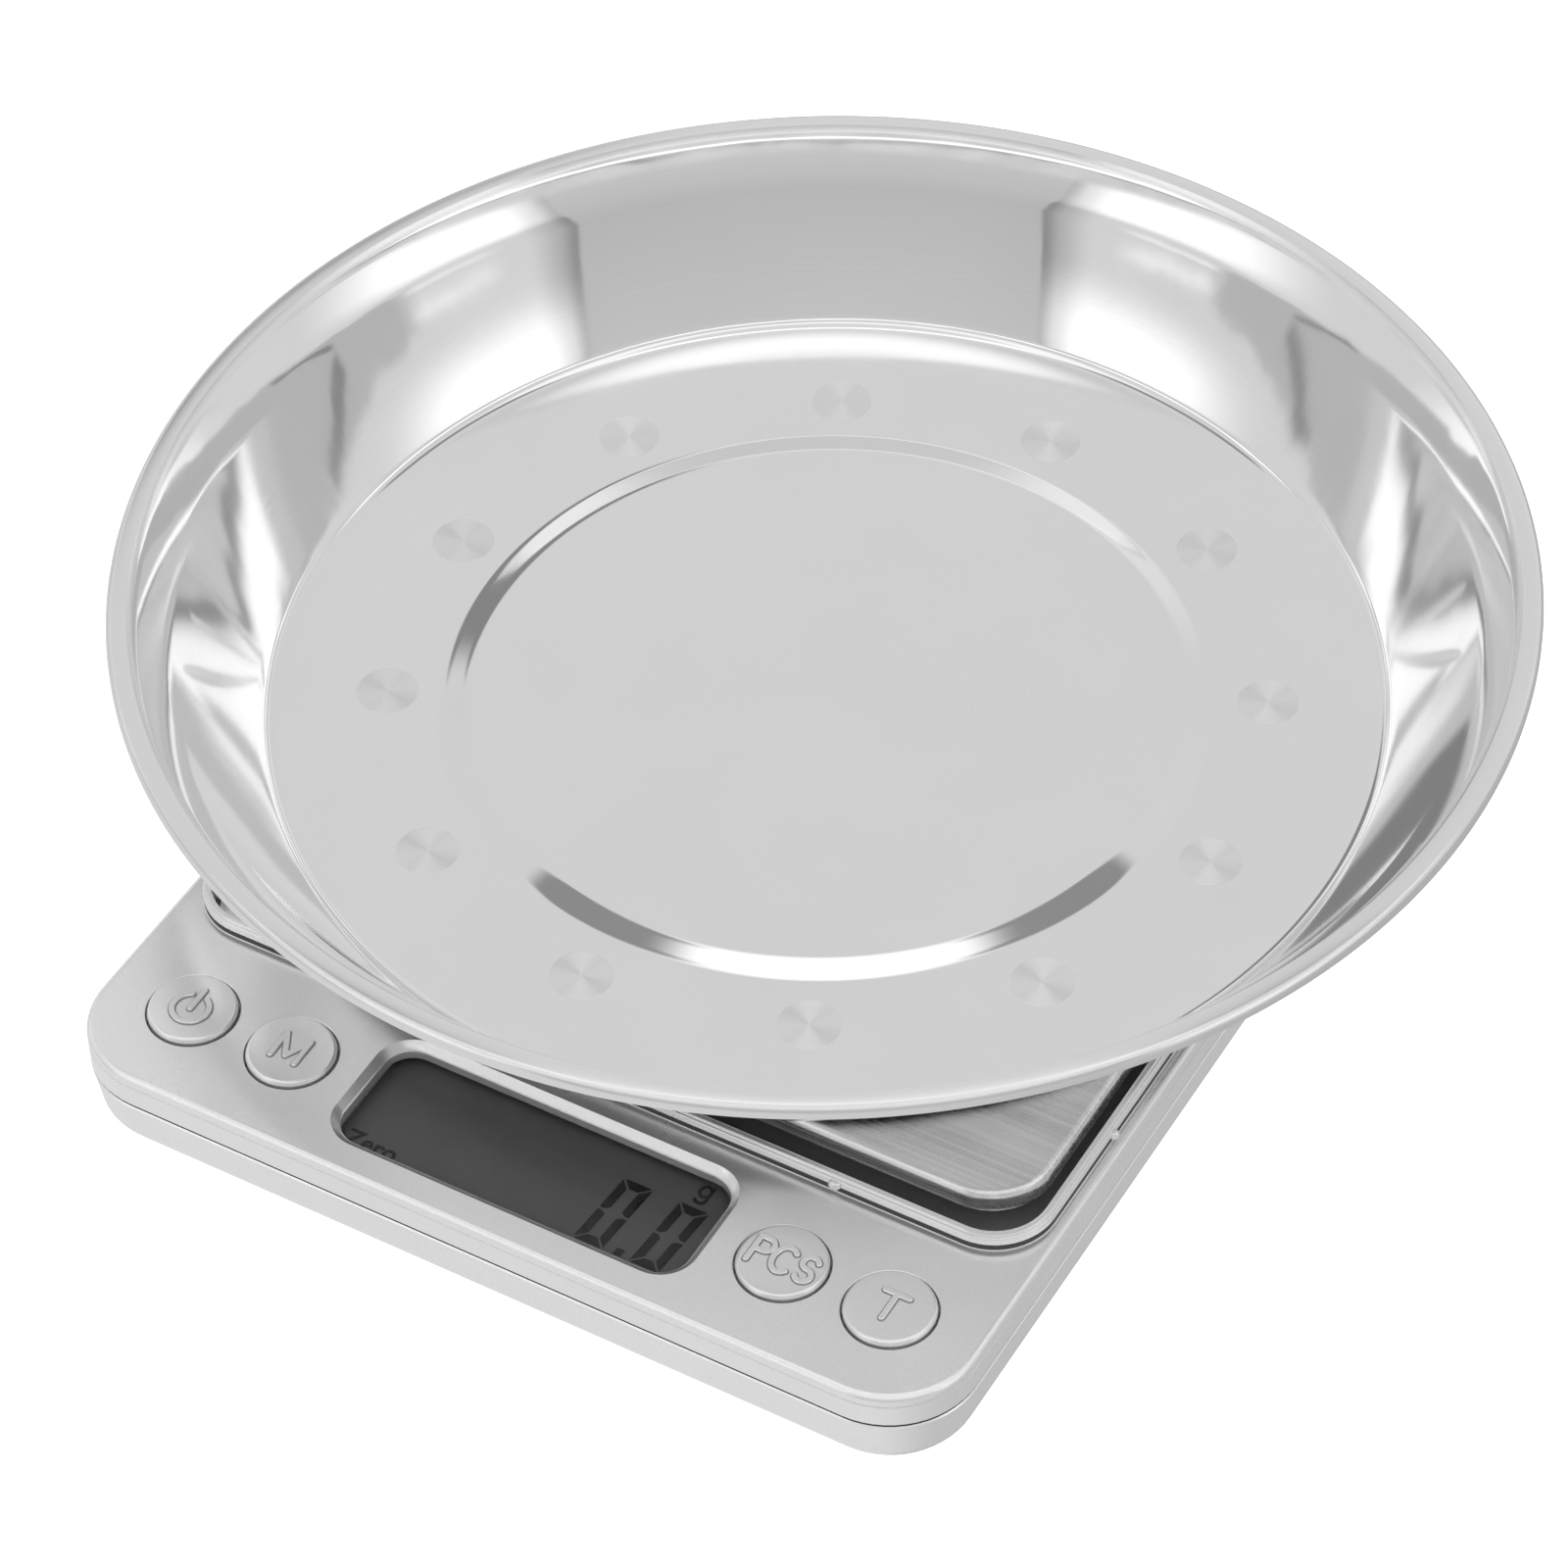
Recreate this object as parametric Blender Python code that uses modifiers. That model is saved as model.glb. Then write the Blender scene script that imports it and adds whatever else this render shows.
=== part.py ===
"""Digital gram scale with a loose round steel pan, as an assembly of its separate pieces.

World axes: +X to the right along the button row, +Y to the back, +Z up, metres. The origin is on the
table, under the middle of the whole object. Lengths below are in millimetres times MM. Coordinates of
pieces are given in the case's own frame: x from the case's centre line, y from its front edge, z from
the table. The empty "case_frame" carries that frame.
"""

import math

import bmesh
import bpy
from mathutils import Matrix, Vector

MM = 0.001
GAP = 0.3  # air between pieces that touch on the real scale

# ---- driving dimensions, in millimetres ------------------------------------------------------------
CASE_WIDTH = 106.0
CASE_DEPTH = 128.0
CASE_RADIUS = 10.0
WALL = 1.8
CASE_BOTTOM = 1.2
FLOOR_TOP = 2.8
LOWER_TOP = 7.9
UPPER_BOTTOM = LOWER_TOP + GAP
LOWER_DRAFT = 0.9
LOWER_FILLET = 2.4
DECK_TOP = 12.4
DECK_UNDER = 10.6
DECK_FILLET = 1.4

LIP_HALF_WIDTH = 51.5
LIP_FRONT = 22.3
LIP_BACK = 126.5
LIP_RADIUS = 7.0
LIP_WALL = 1.1
LIP_TOP = 14.5
WELL_TOP = 10.5
WELL_UNDER = 9.1
SNAP_RADIUS = 0.6
SNAP_SPREAD_X = 29.7
SNAP_INSET_Y = 19.7

WINDOW_HALF_WIDTH = 20.8
WINDOW_FRONT = 4.6
WINDOW_BACK = 18.6
WINDOW_RADIUS = 3.2
WINDOW_CHAMFER = 0.9

BUTTON_Y = 11.35
BUTTON_XS = {"power": -42.3, "mode": -29.8, "pieces": 29.8, "tare": 42.3}
BUTTON_RADIUS = 4.7
BUTTON_TOP = 13.3
BUTTON_HOLE_RADIUS = 5.05
BUTTON_FLANGE_RADIUS = 5.6
BUTTON_TRAVEL = 0.4

PLATE_HALF_WIDTH = 49.6
PLATE_FRONT = 25.3
PLATE_BACK = 124.3
PLATE_RADIUS = 7.0
PLATE_TOP = 17.15
PLATE_SHEET = 0.8
PLATE_SKIRT = 2.9

PAN_X = -3.8
PAN_Y = 79.6
PAN_RADIUS = 77.1
PAN_SHEET = 0.5
PAN_FLOOR = PLATE_TOP + GAP + PAN_SHEET
PAN_RIM = 37.4
PAN_FOOT = 61.3
PAN_FOOT_FILLET = 2.0
PAN_SHOULDER = (70.9, 32.4)
PAN_SHOULDER_RADIUS = 34.0
PAN_SHOULDER_TURN = 9.0
PAN_DISC_RADIUS = 39.4
PAN_STEP_RADIUS = 42.4
PAN_DISC_RISE = 0.7
PAN_STEPS = 64

CELL_LENGTH = 47.0
CELL_WIDTH = 12.0
CELL_BOTTOM = 4.7
CELL_TOP = 10.7
CELL_FRONT = 51.4
CELL_HOLES = (4.0, 10.5)

BATTERY_RADIUS = 5.1
BATTERY_BODY = 43.3
BATTERY_NUB = 1.0
BATTERY_Z = 8.3
BATTERY_XS = (21.6, 32.4)
BAY_X = (14.4, 39.6)
BAY_Y = (59.8, 111.2)
BAY_WALL = 1.2
TAB_REACH = BAY_WALL + 1.4
BAY_TOP = 13.8

DOOR_FRONT = 57.8
DOOR_HALF_NARROW = 10.3
DOOR_HALF_WIDE = 11.3
DOOR_X = 27.0
DOOR_TOP = 2.5
DOOR_STEP = 2.05

FOOT_RADIUS = 4.0
FOOT_X = 44.5
FOOT_YS = (9.0, 119.0)
CASE_SCREW_X = 46.0
CASE_SCREW_YS = (27.5, 111.0)
BOARD_SCREW_X = 36.05
BOARD_SCREW_Y = 18.6

BOARD_HALF_WIDTH = 47.5
BOARD_Y = (3.9, 21.0)
BOARD_BOTTOM = 4.6
BOARD_TOP = 5.8

CASE_X = -PAN_X
CASE_FRONT_Y = -(PAN_Y + PAN_RADIUS) / 2

# ---- scene, collections and materials --------------------------------------------------------------
for old in list(bpy.data.objects):
    bpy.data.objects.remove(old, do_unlink=True)


def make_collection(name):
    collection = bpy.data.collections.new(name)
    bpy.context.scene.collection.children.link(collection)
    return collection


PARTS = make_collection("digital_gram_scale")
CUTTERS = make_collection("cutters")


def make_material(name, color, roughness, metallic=0.0, alpha=1.0):
    material = bpy.data.materials.new(name)
    material.use_nodes = True
    shader = material.node_tree.nodes["Principled BSDF"]
    shader.inputs["Base Color"].default_value = (*color, 1.0)
    shader.inputs["Roughness"].default_value = roughness
    shader.inputs["Metallic"].default_value = metallic
    shader.inputs["Alpha"].default_value = alpha
    return material


SILVER_PAINT = make_material("silver_paint", (0.68, 0.68, 0.68), 0.38, 0.35)
BLACK_PLASTIC = make_material("black_plastic", (0.02, 0.02, 0.02), 0.5)
BRUSHED_STEEL = make_material("brushed_steel", (0.62, 0.62, 0.62), 0.3, 1.0)
POLISHED_STEEL = make_material("polished_steel", (0.78, 0.78, 0.78), 0.1, 1.0)
ZINC_STEEL = make_material("zinc_steel", (0.55, 0.55, 0.53), 0.35, 1.0)
ALUMINIUM = make_material("aluminium", (0.72, 0.72, 0.73), 0.35, 1.0)
RUBBER = make_material("rubber", (0.03, 0.03, 0.03), 0.8)
CLEAR_PLASTIC = make_material("clear_plastic", (0.9, 0.9, 0.9), 0.05, 0.0, 0.3)
LCD_GLASS = make_material("lcd_glass", (0.1, 0.1, 0.1), 0.15)
WHITE_PLASTIC = make_material("white_plastic", (0.85, 0.85, 0.83), 0.5)
CIRCUIT_GREEN = make_material("circuit_green", (0.02, 0.16, 0.06), 0.35)
BATTERY_WRAP = make_material("battery_wrap", (0.05, 0.12, 0.3), 0.3)
RED_WIRE = make_material("red_wire", (0.6, 0.02, 0.02), 0.4)
BLACK_WIRE = make_material("black_wire", (0.02, 0.02, 0.02), 0.4)
WHITE_WIRE = make_material("white_wire", (0.8, 0.8, 0.78), 0.4)


def make_empty(name, location, parent=None):
    empty = bpy.data.objects.new(name, None)
    empty.empty_display_size = 5 * MM
    empty.location = Vector(location) * MM
    empty.parent = parent
    PARTS.objects.link(empty)
    return empty


CASE = make_empty("case_frame", (CASE_X, CASE_FRONT_Y, 0.0))


# ---- shape helpers, in millimetres in the case frame -----------------------------------------------
def add_block(bm, low, high, radius=0.0, segments=4):
    """A box between two corners, with its upright edges rounded."""
    low, high = Vector(low), Vector(high)
    size = high - low
    matrix = Matrix.Translation((low + high) / 2) @ Matrix.Diagonal((*size, 1.0))
    verts = bmesh.ops.create_cube(bm, size=1.0, matrix=matrix)["verts"]
    if radius:
        upright = {
            edge
            for vert in verts
            for edge in vert.link_edges
            if abs(edge.verts[0].co.z - edge.verts[1].co.z) > size.z / 2
        }
        bmesh.ops.bevel(
            bm, geom=list(upright), offset=radius, segments=segments, profile=0.5, affect="EDGES"
        )


def add_cylinder(bm, x, y, bottom, top, radius, sides=20, top_radius=None):
    matrix = Matrix.Translation((x, y, (bottom + top) / 2))
    bmesh.ops.create_cone(
        bm,
        cap_ends=True,
        segments=sides,
        radius1=radius,
        radius2=radius if top_radius is None else top_radius,
        depth=top - bottom,
        matrix=matrix,
    )


def round_rim(bm, z, offset, segments):
    """Rounds the edges of the flat face at height z."""
    rim = [e for e in bm.edges if all(abs(v.co.z - z) < 1e-4 for v in e.verts)]
    bmesh.ops.bevel(bm, geom=rim, offset=offset, segments=segments, profile=0.5, affect="EDGES")


def settle(name, bm, material=None, origin=None, parent=CASE):
    """Turns a bmesh into an object whose origin is its own centre, or the given point."""
    points = [vert.co for vert in bm.verts]
    if origin is None:
        low = Vector([min(p[i] for p in points) for i in range(3)])
        high = Vector([max(p[i] for p in points) for i in range(3)])
        origin = (low + high) / 2
    origin = Vector(origin)
    bmesh.ops.translate(bm, verts=bm.verts, vec=-origin)
    bmesh.ops.scale(bm, verts=bm.verts, vec=(MM, MM, MM))
    mesh = bpy.data.meshes.new(name)
    bm.to_mesh(mesh)
    bm.free()
    return place(name, mesh, material, origin, parent)


def place(name, mesh, material, origin, parent=CASE):
    """Puts a mesh at a point of its parent's frame. Without a material it is a cutter."""
    obj = bpy.data.objects.new(name, mesh)
    obj.parent = parent
    obj.location = Vector(origin) * MM
    if material is None:
        CUTTERS.objects.link(obj)
        obj.hide_render = True
        obj.display_type = "WIRE"
    else:
        PARTS.objects.link(obj)
        if not mesh.materials:
            mesh.materials.append(material)
    return obj


def shade_round(obj, angle=35):
    obj.data.shade_smooth()
    obj.data.set_sharp_from_angle(angle=math.radians(angle))


def block(name, low, high, material=None, radius=0.0, segments=4, parent=CASE, origin=None):
    bm = bmesh.new()
    add_block(bm, low, high, radius, segments)
    return settle(name, bm, material, origin, parent)


def combine(obj, other, operation):
    modifier = obj.modifiers.new(f"{operation.lower()}_{other.name}", "BOOLEAN")
    modifier.operation = operation
    modifier.object = other
    modifier.solver = "EXACT"


def cut(obj, *cutters):
    for cutter in cutters:
        combine(obj, cutter, "DIFFERENCE")


def join(obj, *additions):
    for addition in additions:
        combine(obj, addition, "UNION")


def turned(name, profile, steps, origin, material=None, parent=CASE):
    """A profile of (radius, height) points, listed from its top to its bottom, turned about Z."""
    mesh = bpy.data.meshes.new(name)
    points = [(radius * MM, 0.0, height * MM) for radius, height in profile]
    mesh.from_pydata(points, [(i, i + 1) for i in range(len(points) - 1)], [])
    obj = place(name, mesh, material, origin, parent)
    screw = obj.modifiers.new("turn", "SCREW")
    screw.angle = math.tau
    screw.steps = steps
    screw.render_steps = steps
    screw.use_merge_vertices = True
    screw.merge_threshold = 1e-6
    screw.use_smooth_shade = True
    return obj


def arc(centre, radius, start, end, count):
    """Points on an arc of a profile, angles in degrees from the radial direction."""
    angles = [math.radians(start + (end - start) * i / count) for i in range(count + 1)]
    return [(centre[0] + radius * math.cos(a), centre[1] + radius * math.sin(a)) for a in angles]


def baked(obj):
    """The object's evaluated mesh as a mesh of its own, with the object removed."""
    graph = bpy.context.evaluated_depsgraph_get()
    mesh = bpy.data.meshes.new_from_object(obj.evaluated_get(graph))
    bpy.data.objects.remove(obj, do_unlink=True)
    return mesh


def catmull(points, per_span):
    """A smooth curve through the given points."""
    padded = [2 * points[0] - points[1], *points, 2 * points[-1] - points[-2]]
    smooth = []
    for a, b, c, d in zip(padded, padded[1:], padded[2:], padded[3:]):
        for i in range(per_span):
            t = i / per_span
            bend = (2 * a - 5 * b + 4 * c - d) * t**2
            twist = (3 * b - a - 3 * c + d) * t**3
            smooth.append((2 * b + (c - a) * t + bend + twist) / 2)
    return [*smooth, points[-1]]


def wire(name, points, radius, material, resolution=2, parent=CASE):
    """A round wire along points in the case frame, with its origin at its first point."""
    origin = points[0]
    curve = bpy.data.curves.new(name, "CURVE")
    curve.dimensions = "3D"
    curve.bevel_depth = radius * MM
    curve.bevel_resolution = resolution
    curve.use_fill_caps = True
    spline = curve.splines.new("POLY")
    spline.points.add(len(points) - 1)
    for slot, point in zip(spline.points, points):
        slot.co = (*((point - origin) * MM), 1.0)
    obj = bpy.data.objects.new(name, curve)
    obj.location = origin * MM
    obj.parent = parent
    curve.materials.append(material)
    PARTS.objects.link(obj)
    return obj


# ---- case ------------------------------------------------------------------------------------------
def lower_case_outside(name, material=None):
    """The lower case's outer form: drafted walls that narrow downwards, with a rounded bottom edge."""
    bm = bmesh.new()
    half = CASE_WIDTH / 2
    add_block(bm, (-half, 0, CASE_BOTTOM), (half, CASE_DEPTH, LOWER_TOP), CASE_RADIUS, 6)
    middle = Vector((0, CASE_DEPTH / 2, 0))
    shrink_x = 1 - LOWER_DRAFT / half
    shrink_y = 1 - LOWER_DRAFT / (CASE_DEPTH / 2)
    for vert in bm.verts:
        if vert.co.z < (CASE_BOTTOM + LOWER_TOP) / 2:
            vert.co.x *= shrink_x
            vert.co.y = middle.y + (vert.co.y - middle.y) * shrink_y
    round_rim(bm, CASE_BOTTOM, LOWER_FILLET, 3)
    return settle(name, bm, material)


def case_cavity(name, bottom, top):
    half = CASE_WIDTH / 2 - WALL
    return block(name, (-half, WALL, bottom), (half, CASE_DEPTH - WALL, top), None, CASE_RADIUS - WALL, 5)


def pairs(x, ys):
    """Left and right places at each y."""
    return [(side * x, y) for y in ys for side in (-1, 1)]


def posts(name, places, bottom, top, radius, sides=16):
    bm = bmesh.new()
    for x, y in places:
        add_cylinder(bm, x, y, bottom, top, radius, sides)
    return settle(name, bm)


CASE_SCREWS = pairs(CASE_SCREW_X, CASE_SCREW_YS)
BOARD_SCREWS = pairs(BOARD_SCREW_X, (BOARD_SCREW_Y,))
FEET = pairs(FOOT_X, FOOT_YS)
CELL_BASE_HOLES = [CELL_FRONT + CELL_LENGTH - d for d in CELL_HOLES]
CELL_TOP_HOLES = [CELL_FRONT + d for d in CELL_HOLES]
PAD_TOP = 3.5
CASE_SCREW_SEAT = 2.6
CELL_SCREW_SEAT = 2.3
PLATFORM_SCREW_SEAT = 14.4


def door_slot(name, clearance, front, top, step):
    """The stepped slot that the battery door slides in, or with no clearance the door's own section."""
    back = CASE_DEPTH + 2
    wide = DOOR_HALF_WIDE + clearance
    narrow = DOOR_HALF_NARROW + clearance
    upper = block(name + "_wide", (DOOR_X - wide, front, step), (DOOR_X + wide, back, top))
    lower = block(name + "_narrow", (DOOR_X - narrow, front, 0.5), (DOOR_X + narrow, back, step + 0.1))
    return upper, lower


def build_lower_case():
    case = lower_case_outside("lower_case", SILVER_PAINT)
    cut(case, case_cavity("lower_cavity", FLOOR_TOP, LOWER_TOP + 1))
    join(
        case,
        posts("lower_bosses", CASE_SCREWS, FLOOR_TOP - 0.4, 4.2, 3.5),
        block("cell_pad", (-7, 84.5, FLOOR_TOP - 0.4), (7, 99.4, PAD_TOP), None, 1.0, 2),
        block(
            "bay_block",
            (BAY_X[0] - BAY_WALL, BAY_Y[0] - BAY_WALL, FLOOR_TOP - 0.4),
            (BAY_X[1] + BAY_WALL, BAY_Y[1] + BAY_WALL, BAY_TOP + 1),
        ),
    )
    slot = door_slot("door_slot", GAP, DOOR_FRONT - GAP, FLOOR_TOP + 0.1, DOOR_STEP - GAP)
    bm = bmesh.new()
    for x in BATTERY_XS:
        add_block(bm, (x - 1.5, BAY_Y[0] - 2 * BAY_WALL, 4.0), (x + 1.5, BAY_Y[0] + 0.5, 5.4))
    cut(
        case,
        block("bay_room", (BAY_X[0], BAY_Y[0], FLOOR_TOP - 0.05), (BAY_X[1], BAY_Y[1], BAY_TOP)),
        *slot,
        settle("tab_slots", bm),
        posts("screw_recesses", CASE_SCREWS, 0.5, 2.9, 2.6),
        posts("screw_ways", CASE_SCREWS, 2.5, 5.0, 1.4),
        posts("foot_recesses", FEET, 0.5, 2.0, FOOT_RADIUS + GAP, 20),
        posts("cell_screw_recesses", [(0, y) for y in CELL_BASE_HOLES], 0.5, 2.6, 3.0),
        posts("cell_screw_ways", [(0, y) for y in CELL_BASE_HOLES], 2.2, 5.0, 1.8),
    )
    shade_round(case)


def build_upper_case():
    half = CASE_WIDTH / 2
    bm = bmesh.new()
    add_block(bm, (-half, 0, UPPER_BOTTOM), (half, CASE_DEPTH, DECK_TOP), CASE_RADIUS, 6)
    round_rim(bm, DECK_TOP, DECK_FILLET, 3)
    case = settle("upper_case", bm, SILVER_PAINT)
    inner = LIP_HALF_WIDTH - LIP_WALL
    lip_low = (-LIP_HALF_WIDTH, LIP_FRONT, DECK_TOP - 0.6)
    lip_high = (LIP_HALF_WIDTH, LIP_BACK, LIP_TOP)
    well_low = (-inner, LIP_FRONT + LIP_WALL, WELL_TOP)
    well_high = (inner, LIP_BACK - LIP_WALL, LIP_TOP + 1)
    snaps = pairs(SNAP_SPREAD_X, (LIP_FRONT, LIP_BACK))
    snaps += pairs(LIP_HALF_WIDTH, (LIP_FRONT + SNAP_INSET_Y, LIP_BACK - SNAP_INSET_Y))
    join(case, block("lip_block", lip_low, lip_high, None, LIP_RADIUS, 6))
    cut(case, block("well_room", well_low, well_high, None, LIP_RADIUS - LIP_WALL, 6))
    inside = half - WALL
    front_low = (-inside, WALL, UPPER_BOTTOM - 1)
    rear_low = (-inside, LIP_FRONT + 1, UPPER_BOTTOM - 1)
    cut(
        case,
        block("front_room", front_low, (inside, LIP_FRONT - 0.4, DECK_UNDER), None, CASE_RADIUS - WALL, 5),
        block("under_room", rear_low, (inside, CASE_DEPTH - WALL, WELL_UNDER), None, CASE_RADIUS - WALL, 5),
    )
    join(
        case,
        posts("lip_snaps", snaps, 13.1, 14.1, SNAP_RADIUS, 8),
        posts("upper_bosses", CASE_SCREWS, 4.5, WELL_UNDER + 0.3, 3.0),
        posts("board_bosses", BOARD_SCREWS, BOARD_TOP + GAP, DECK_UNDER + 0.3, 2.4),
    )
    buttons = [(x, BUTTON_Y) for x in BUTTON_XS.values()]
    cut(
        case,
        posts("upper_pilots", CASE_SCREWS, 4.0, 8.6, 1.4, 12),
        posts("board_pilots", BOARD_SCREWS, BOARD_TOP, 9.6, 1.2, 12),
        block("cell_opening", (-8, 49, WELL_UNDER - 1), (8, 101, WELL_TOP + 1), None, 2.0, 3),
        block("bay_opening", (12.6, 58.0, WELL_UNDER - 1), (41.4, 113.0, WELL_TOP + 1), None, 1.0, 2),
        posts("button_holes", buttons, DECK_UNDER - 1, DECK_TOP + 1, BUTTON_HOLE_RADIUS, 24),
        window_cutter(),
    )
    shade_round(case)


def window_cutter():
    """The display opening: straight below, and flared outwards over the top of the deck."""
    bm = bmesh.new()
    spread = WINDOW_CHAMFER * 1.6
    bottom, knee, top = DECK_UNDER - 1, DECK_TOP - 1.0, DECK_TOP + 0.6
    low = (-WINDOW_HALF_WIDTH, WINDOW_FRONT, bottom)
    high = (WINDOW_HALF_WIDTH, WINDOW_BACK, knee)
    add_block(bm, low, high, WINDOW_RADIUS, 6)
    lid = [face for face in bm.faces if face.normal.z > 0.9]
    raised = bmesh.ops.extrude_face_region(bm, geom=lid)["geom"]
    bmesh.ops.delete(bm, geom=lid, context="FACES_ONLY")
    middle = Vector((0, (WINDOW_FRONT + WINDOW_BACK) / 2, 0))
    depth = (WINDOW_BACK - WINDOW_FRONT) / 2
    for vert in (item for item in raised if isinstance(item, bmesh.types.BMVert)):
        vert.co.x *= 1 + spread / WINDOW_HALF_WIDTH
        vert.co.y = middle.y + (vert.co.y - middle.y) * (1 + spread / depth)
        vert.co.z = top
    return settle("window_opening", bm)


def build_battery_door():
    door = lower_case_outside("battery_door", SILVER_PAINT)
    wide, narrow = door_slot("door_section", 0.0, DOOR_FRONT, DOOR_TOP, DOOR_STEP)
    join(wide, narrow)
    combine(door, wide, "INTERSECT")
    bm = bmesh.new()
    for i in range(4):
        y = 106.0 + 2.4 * i
        add_block(bm, (DOOR_X - 6, y, 0.5), (DOOR_X + 6, y + 1.0, 1.5))
    cut(door, settle("door_grip", bm))


def build_feet():
    bm = bmesh.new()
    add_cylinder(bm, 0, 0, 0, 1.7, FOOT_RADIUS, 20)
    round_rim(bm, 0, 0.4, 2)
    first = None
    names = ("foot_front_left", "foot_front_right", "foot_rear_left", "foot_rear_right")
    for name, (x, y) in zip(names, FEET):
        if first is None:
            first = settle(name, bm, RUBBER, origin=(0, 0, 0))
            first.location = Vector((x, y, 0)) * MM
            shade_round(first)
        else:
            place(name, first.data, RUBBER, (x, y, 0))


# ---- screws ----------------------------------------------------------------------------------------
def screw_mesh(name, head_radius, head_height, shank_radius, length):
    """A pan-head screw pointing up from its head, with a cross recess, its origin under the head."""
    profile = [
        (0, length),
        (shank_radius * 0.6, length),
        (shank_radius, length - shank_radius * 0.6),
        (shank_radius, 0),
        (head_radius, 0),
        (head_radius, -head_height * 0.6),
        (head_radius * 0.75, -head_height),
        (0, -head_height),
    ]
    screw = turned(name, profile, 12, (0, 0, 0), ZINC_STEEL)
    arm, depth = head_radius * 0.6, head_height * 0.55
    bm = bmesh.new()
    add_block(bm, (-arm, -0.25, -head_height - 1), (arm, 0.25, -head_height + depth))
    across = settle(name + "_slot_x", bm)
    bm = bmesh.new()
    add_block(bm, (-0.25, -arm, -head_height - 1), (0.25, arm, -head_height + depth))
    along = settle(name + "_slot_y", bm)
    cut(screw, across, along)
    bpy.context.view_layer.update()
    mesh = baked(screw)
    for helper in (across, along):
        bpy.data.objects.remove(helper, do_unlink=True)
    mesh.name = name
    return mesh


def build_screws():
    case_mesh = screw_mesh("case_screw_shape", 2.2, 1.1, 1.1, 5.0)
    ends = ("front_left", "front_right", "rear_left", "rear_right")
    for end, (x, y) in zip(ends, CASE_SCREWS):
        place("case_screw_" + end, case_mesh, ZINC_STEEL, (x, y, CASE_SCREW_SEAT))
    board_mesh = screw_mesh("board_screw_shape", 2.0, 1.1, 0.9, 4.9)
    for side, (x, y) in zip(("left", "right"), BOARD_SCREWS):
        place("board_screw_" + side, board_mesh, ZINC_STEEL, (x, y, BOARD_BOTTOM - GAP))
    cell_mesh = screw_mesh("cell_screw_shape", 2.6, 1.0, 1.5, 6.6)
    for end, y in zip(("rear", "front"), CELL_BASE_HOLES):
        place("load_cell_screw_" + end, cell_mesh, ZINC_STEEL, (0, y, CELL_SCREW_SEAT))
    platform_mesh = screw_mesh("platform_screw_shape", 2.6, 1.2, 1.5, 8.6)
    for end, y in zip(("front", "rear"), CELL_TOP_HOLES):
        seat = Vector((0, y, PLATFORM_SCREW_SEAT)) - HUB
        screw = place("platform_screw_" + end, platform_mesh, ZINC_STEEL, seat, PLATFORM)
        screw.rotation_euler = (math.pi, 0, 0)


# ---- display and electronics -----------------------------------------------------------------------
def build_display():
    block("display_window", (-23.6, 2.7, 9.8), (23.6, 20.9, 10.3), CLEAR_PLASTIC)
    block("lcd_panel", (-23.4, 2.9, 7.7), (23.4, 21.2, 9.5), LCD_GLASS)
    block("lcd_backlight", (-22.6, 3.2, 6.1), (22.6, 18.7, 7.4), WHITE_PLASTIC)
    block("lcd_connector_strip", (-22.0, 19.2, 6.1), (22.0, 20.9, 7.4), RUBBER)


def build_circuit_board():
    low = (-BOARD_HALF_WIDTH, BOARD_Y[0], BOARD_BOTTOM)
    high = (BOARD_HALF_WIDTH, BOARD_Y[1], BOARD_TOP)
    board = block("circuit_board", low, high, CIRCUIT_GREEN, 3.0, 3)
    cut(board, posts("board_holes", BOARD_SCREWS, BOARD_BOTTOM - 1, BOARD_TOP + 1, 1.25, 12))
    blob = [(0, 1.15), (2.6, 1.0), (4.0, 0.6), (4.6, 0), (0, 0)]
    chip = turned("controller_chip", blob, 20, (0, 11.5, BOARD_BOTTOM - GAP), BLACK_PLASTIC)
    chip.rotation_euler = (math.pi, 0, 0)
    block("converter_chip", (13, 9.6, 3.1), (22.8, 13.4, 4.3), BLACK_PLASTIC)


def build_buttons():
    """Four caps in the deck, each pushing the plunger of a tact switch on the board."""
    radius, edge = BUTTON_RADIUS, 0.7
    cap = [(0, BUTTON_TOP), (radius - edge, BUTTON_TOP)]
    cap += arc((radius - edge, BUTTON_TOP - edge), edge, 67, 0, 3)
    cap += [
        (radius, DECK_UNDER - GAP),
        (BUTTON_FLANGE_RADIUS, DECK_UNDER - GAP),
        (BUTTON_FLANGE_RADIUS, 9.6),
        (2.0, 9.6),
        (2.0, 9.1),
        (0, 9.1),
    ]
    cap = [(r, z - BUTTON_TOP) for r, z in cap]
    plunger = [(0, 8.8), (1.4, 8.8), (1.7, 8.5), (1.7, 7.1), (0, 7.1)]
    plunger = [(r, z - BUTTON_TOP) for r, z in plunger]
    for name, x in BUTTON_XS.items():
        axis = make_empty(name + "_button_axis", (x, BUTTON_Y, BUTTON_TOP), CASE)
        turned(name + "_button", cap, 24, (0, 0, 0), SILVER_PAINT, axis)
        turned(name + "_switch_plunger", plunger, 12, (0, 0, 0), BLACK_PLASTIC, axis)
        low = (x - 3, BUTTON_Y - 3, BOARD_TOP + GAP)
        switch = block(name + "_switch", low, (x + 3, BUTTON_Y + 3, 8.1), BLACK_PLASTIC)
        cut(switch, posts(name + "_switch_well", [(x, BUTTON_Y)], 6.5, 9, 2.0, 16))


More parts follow.
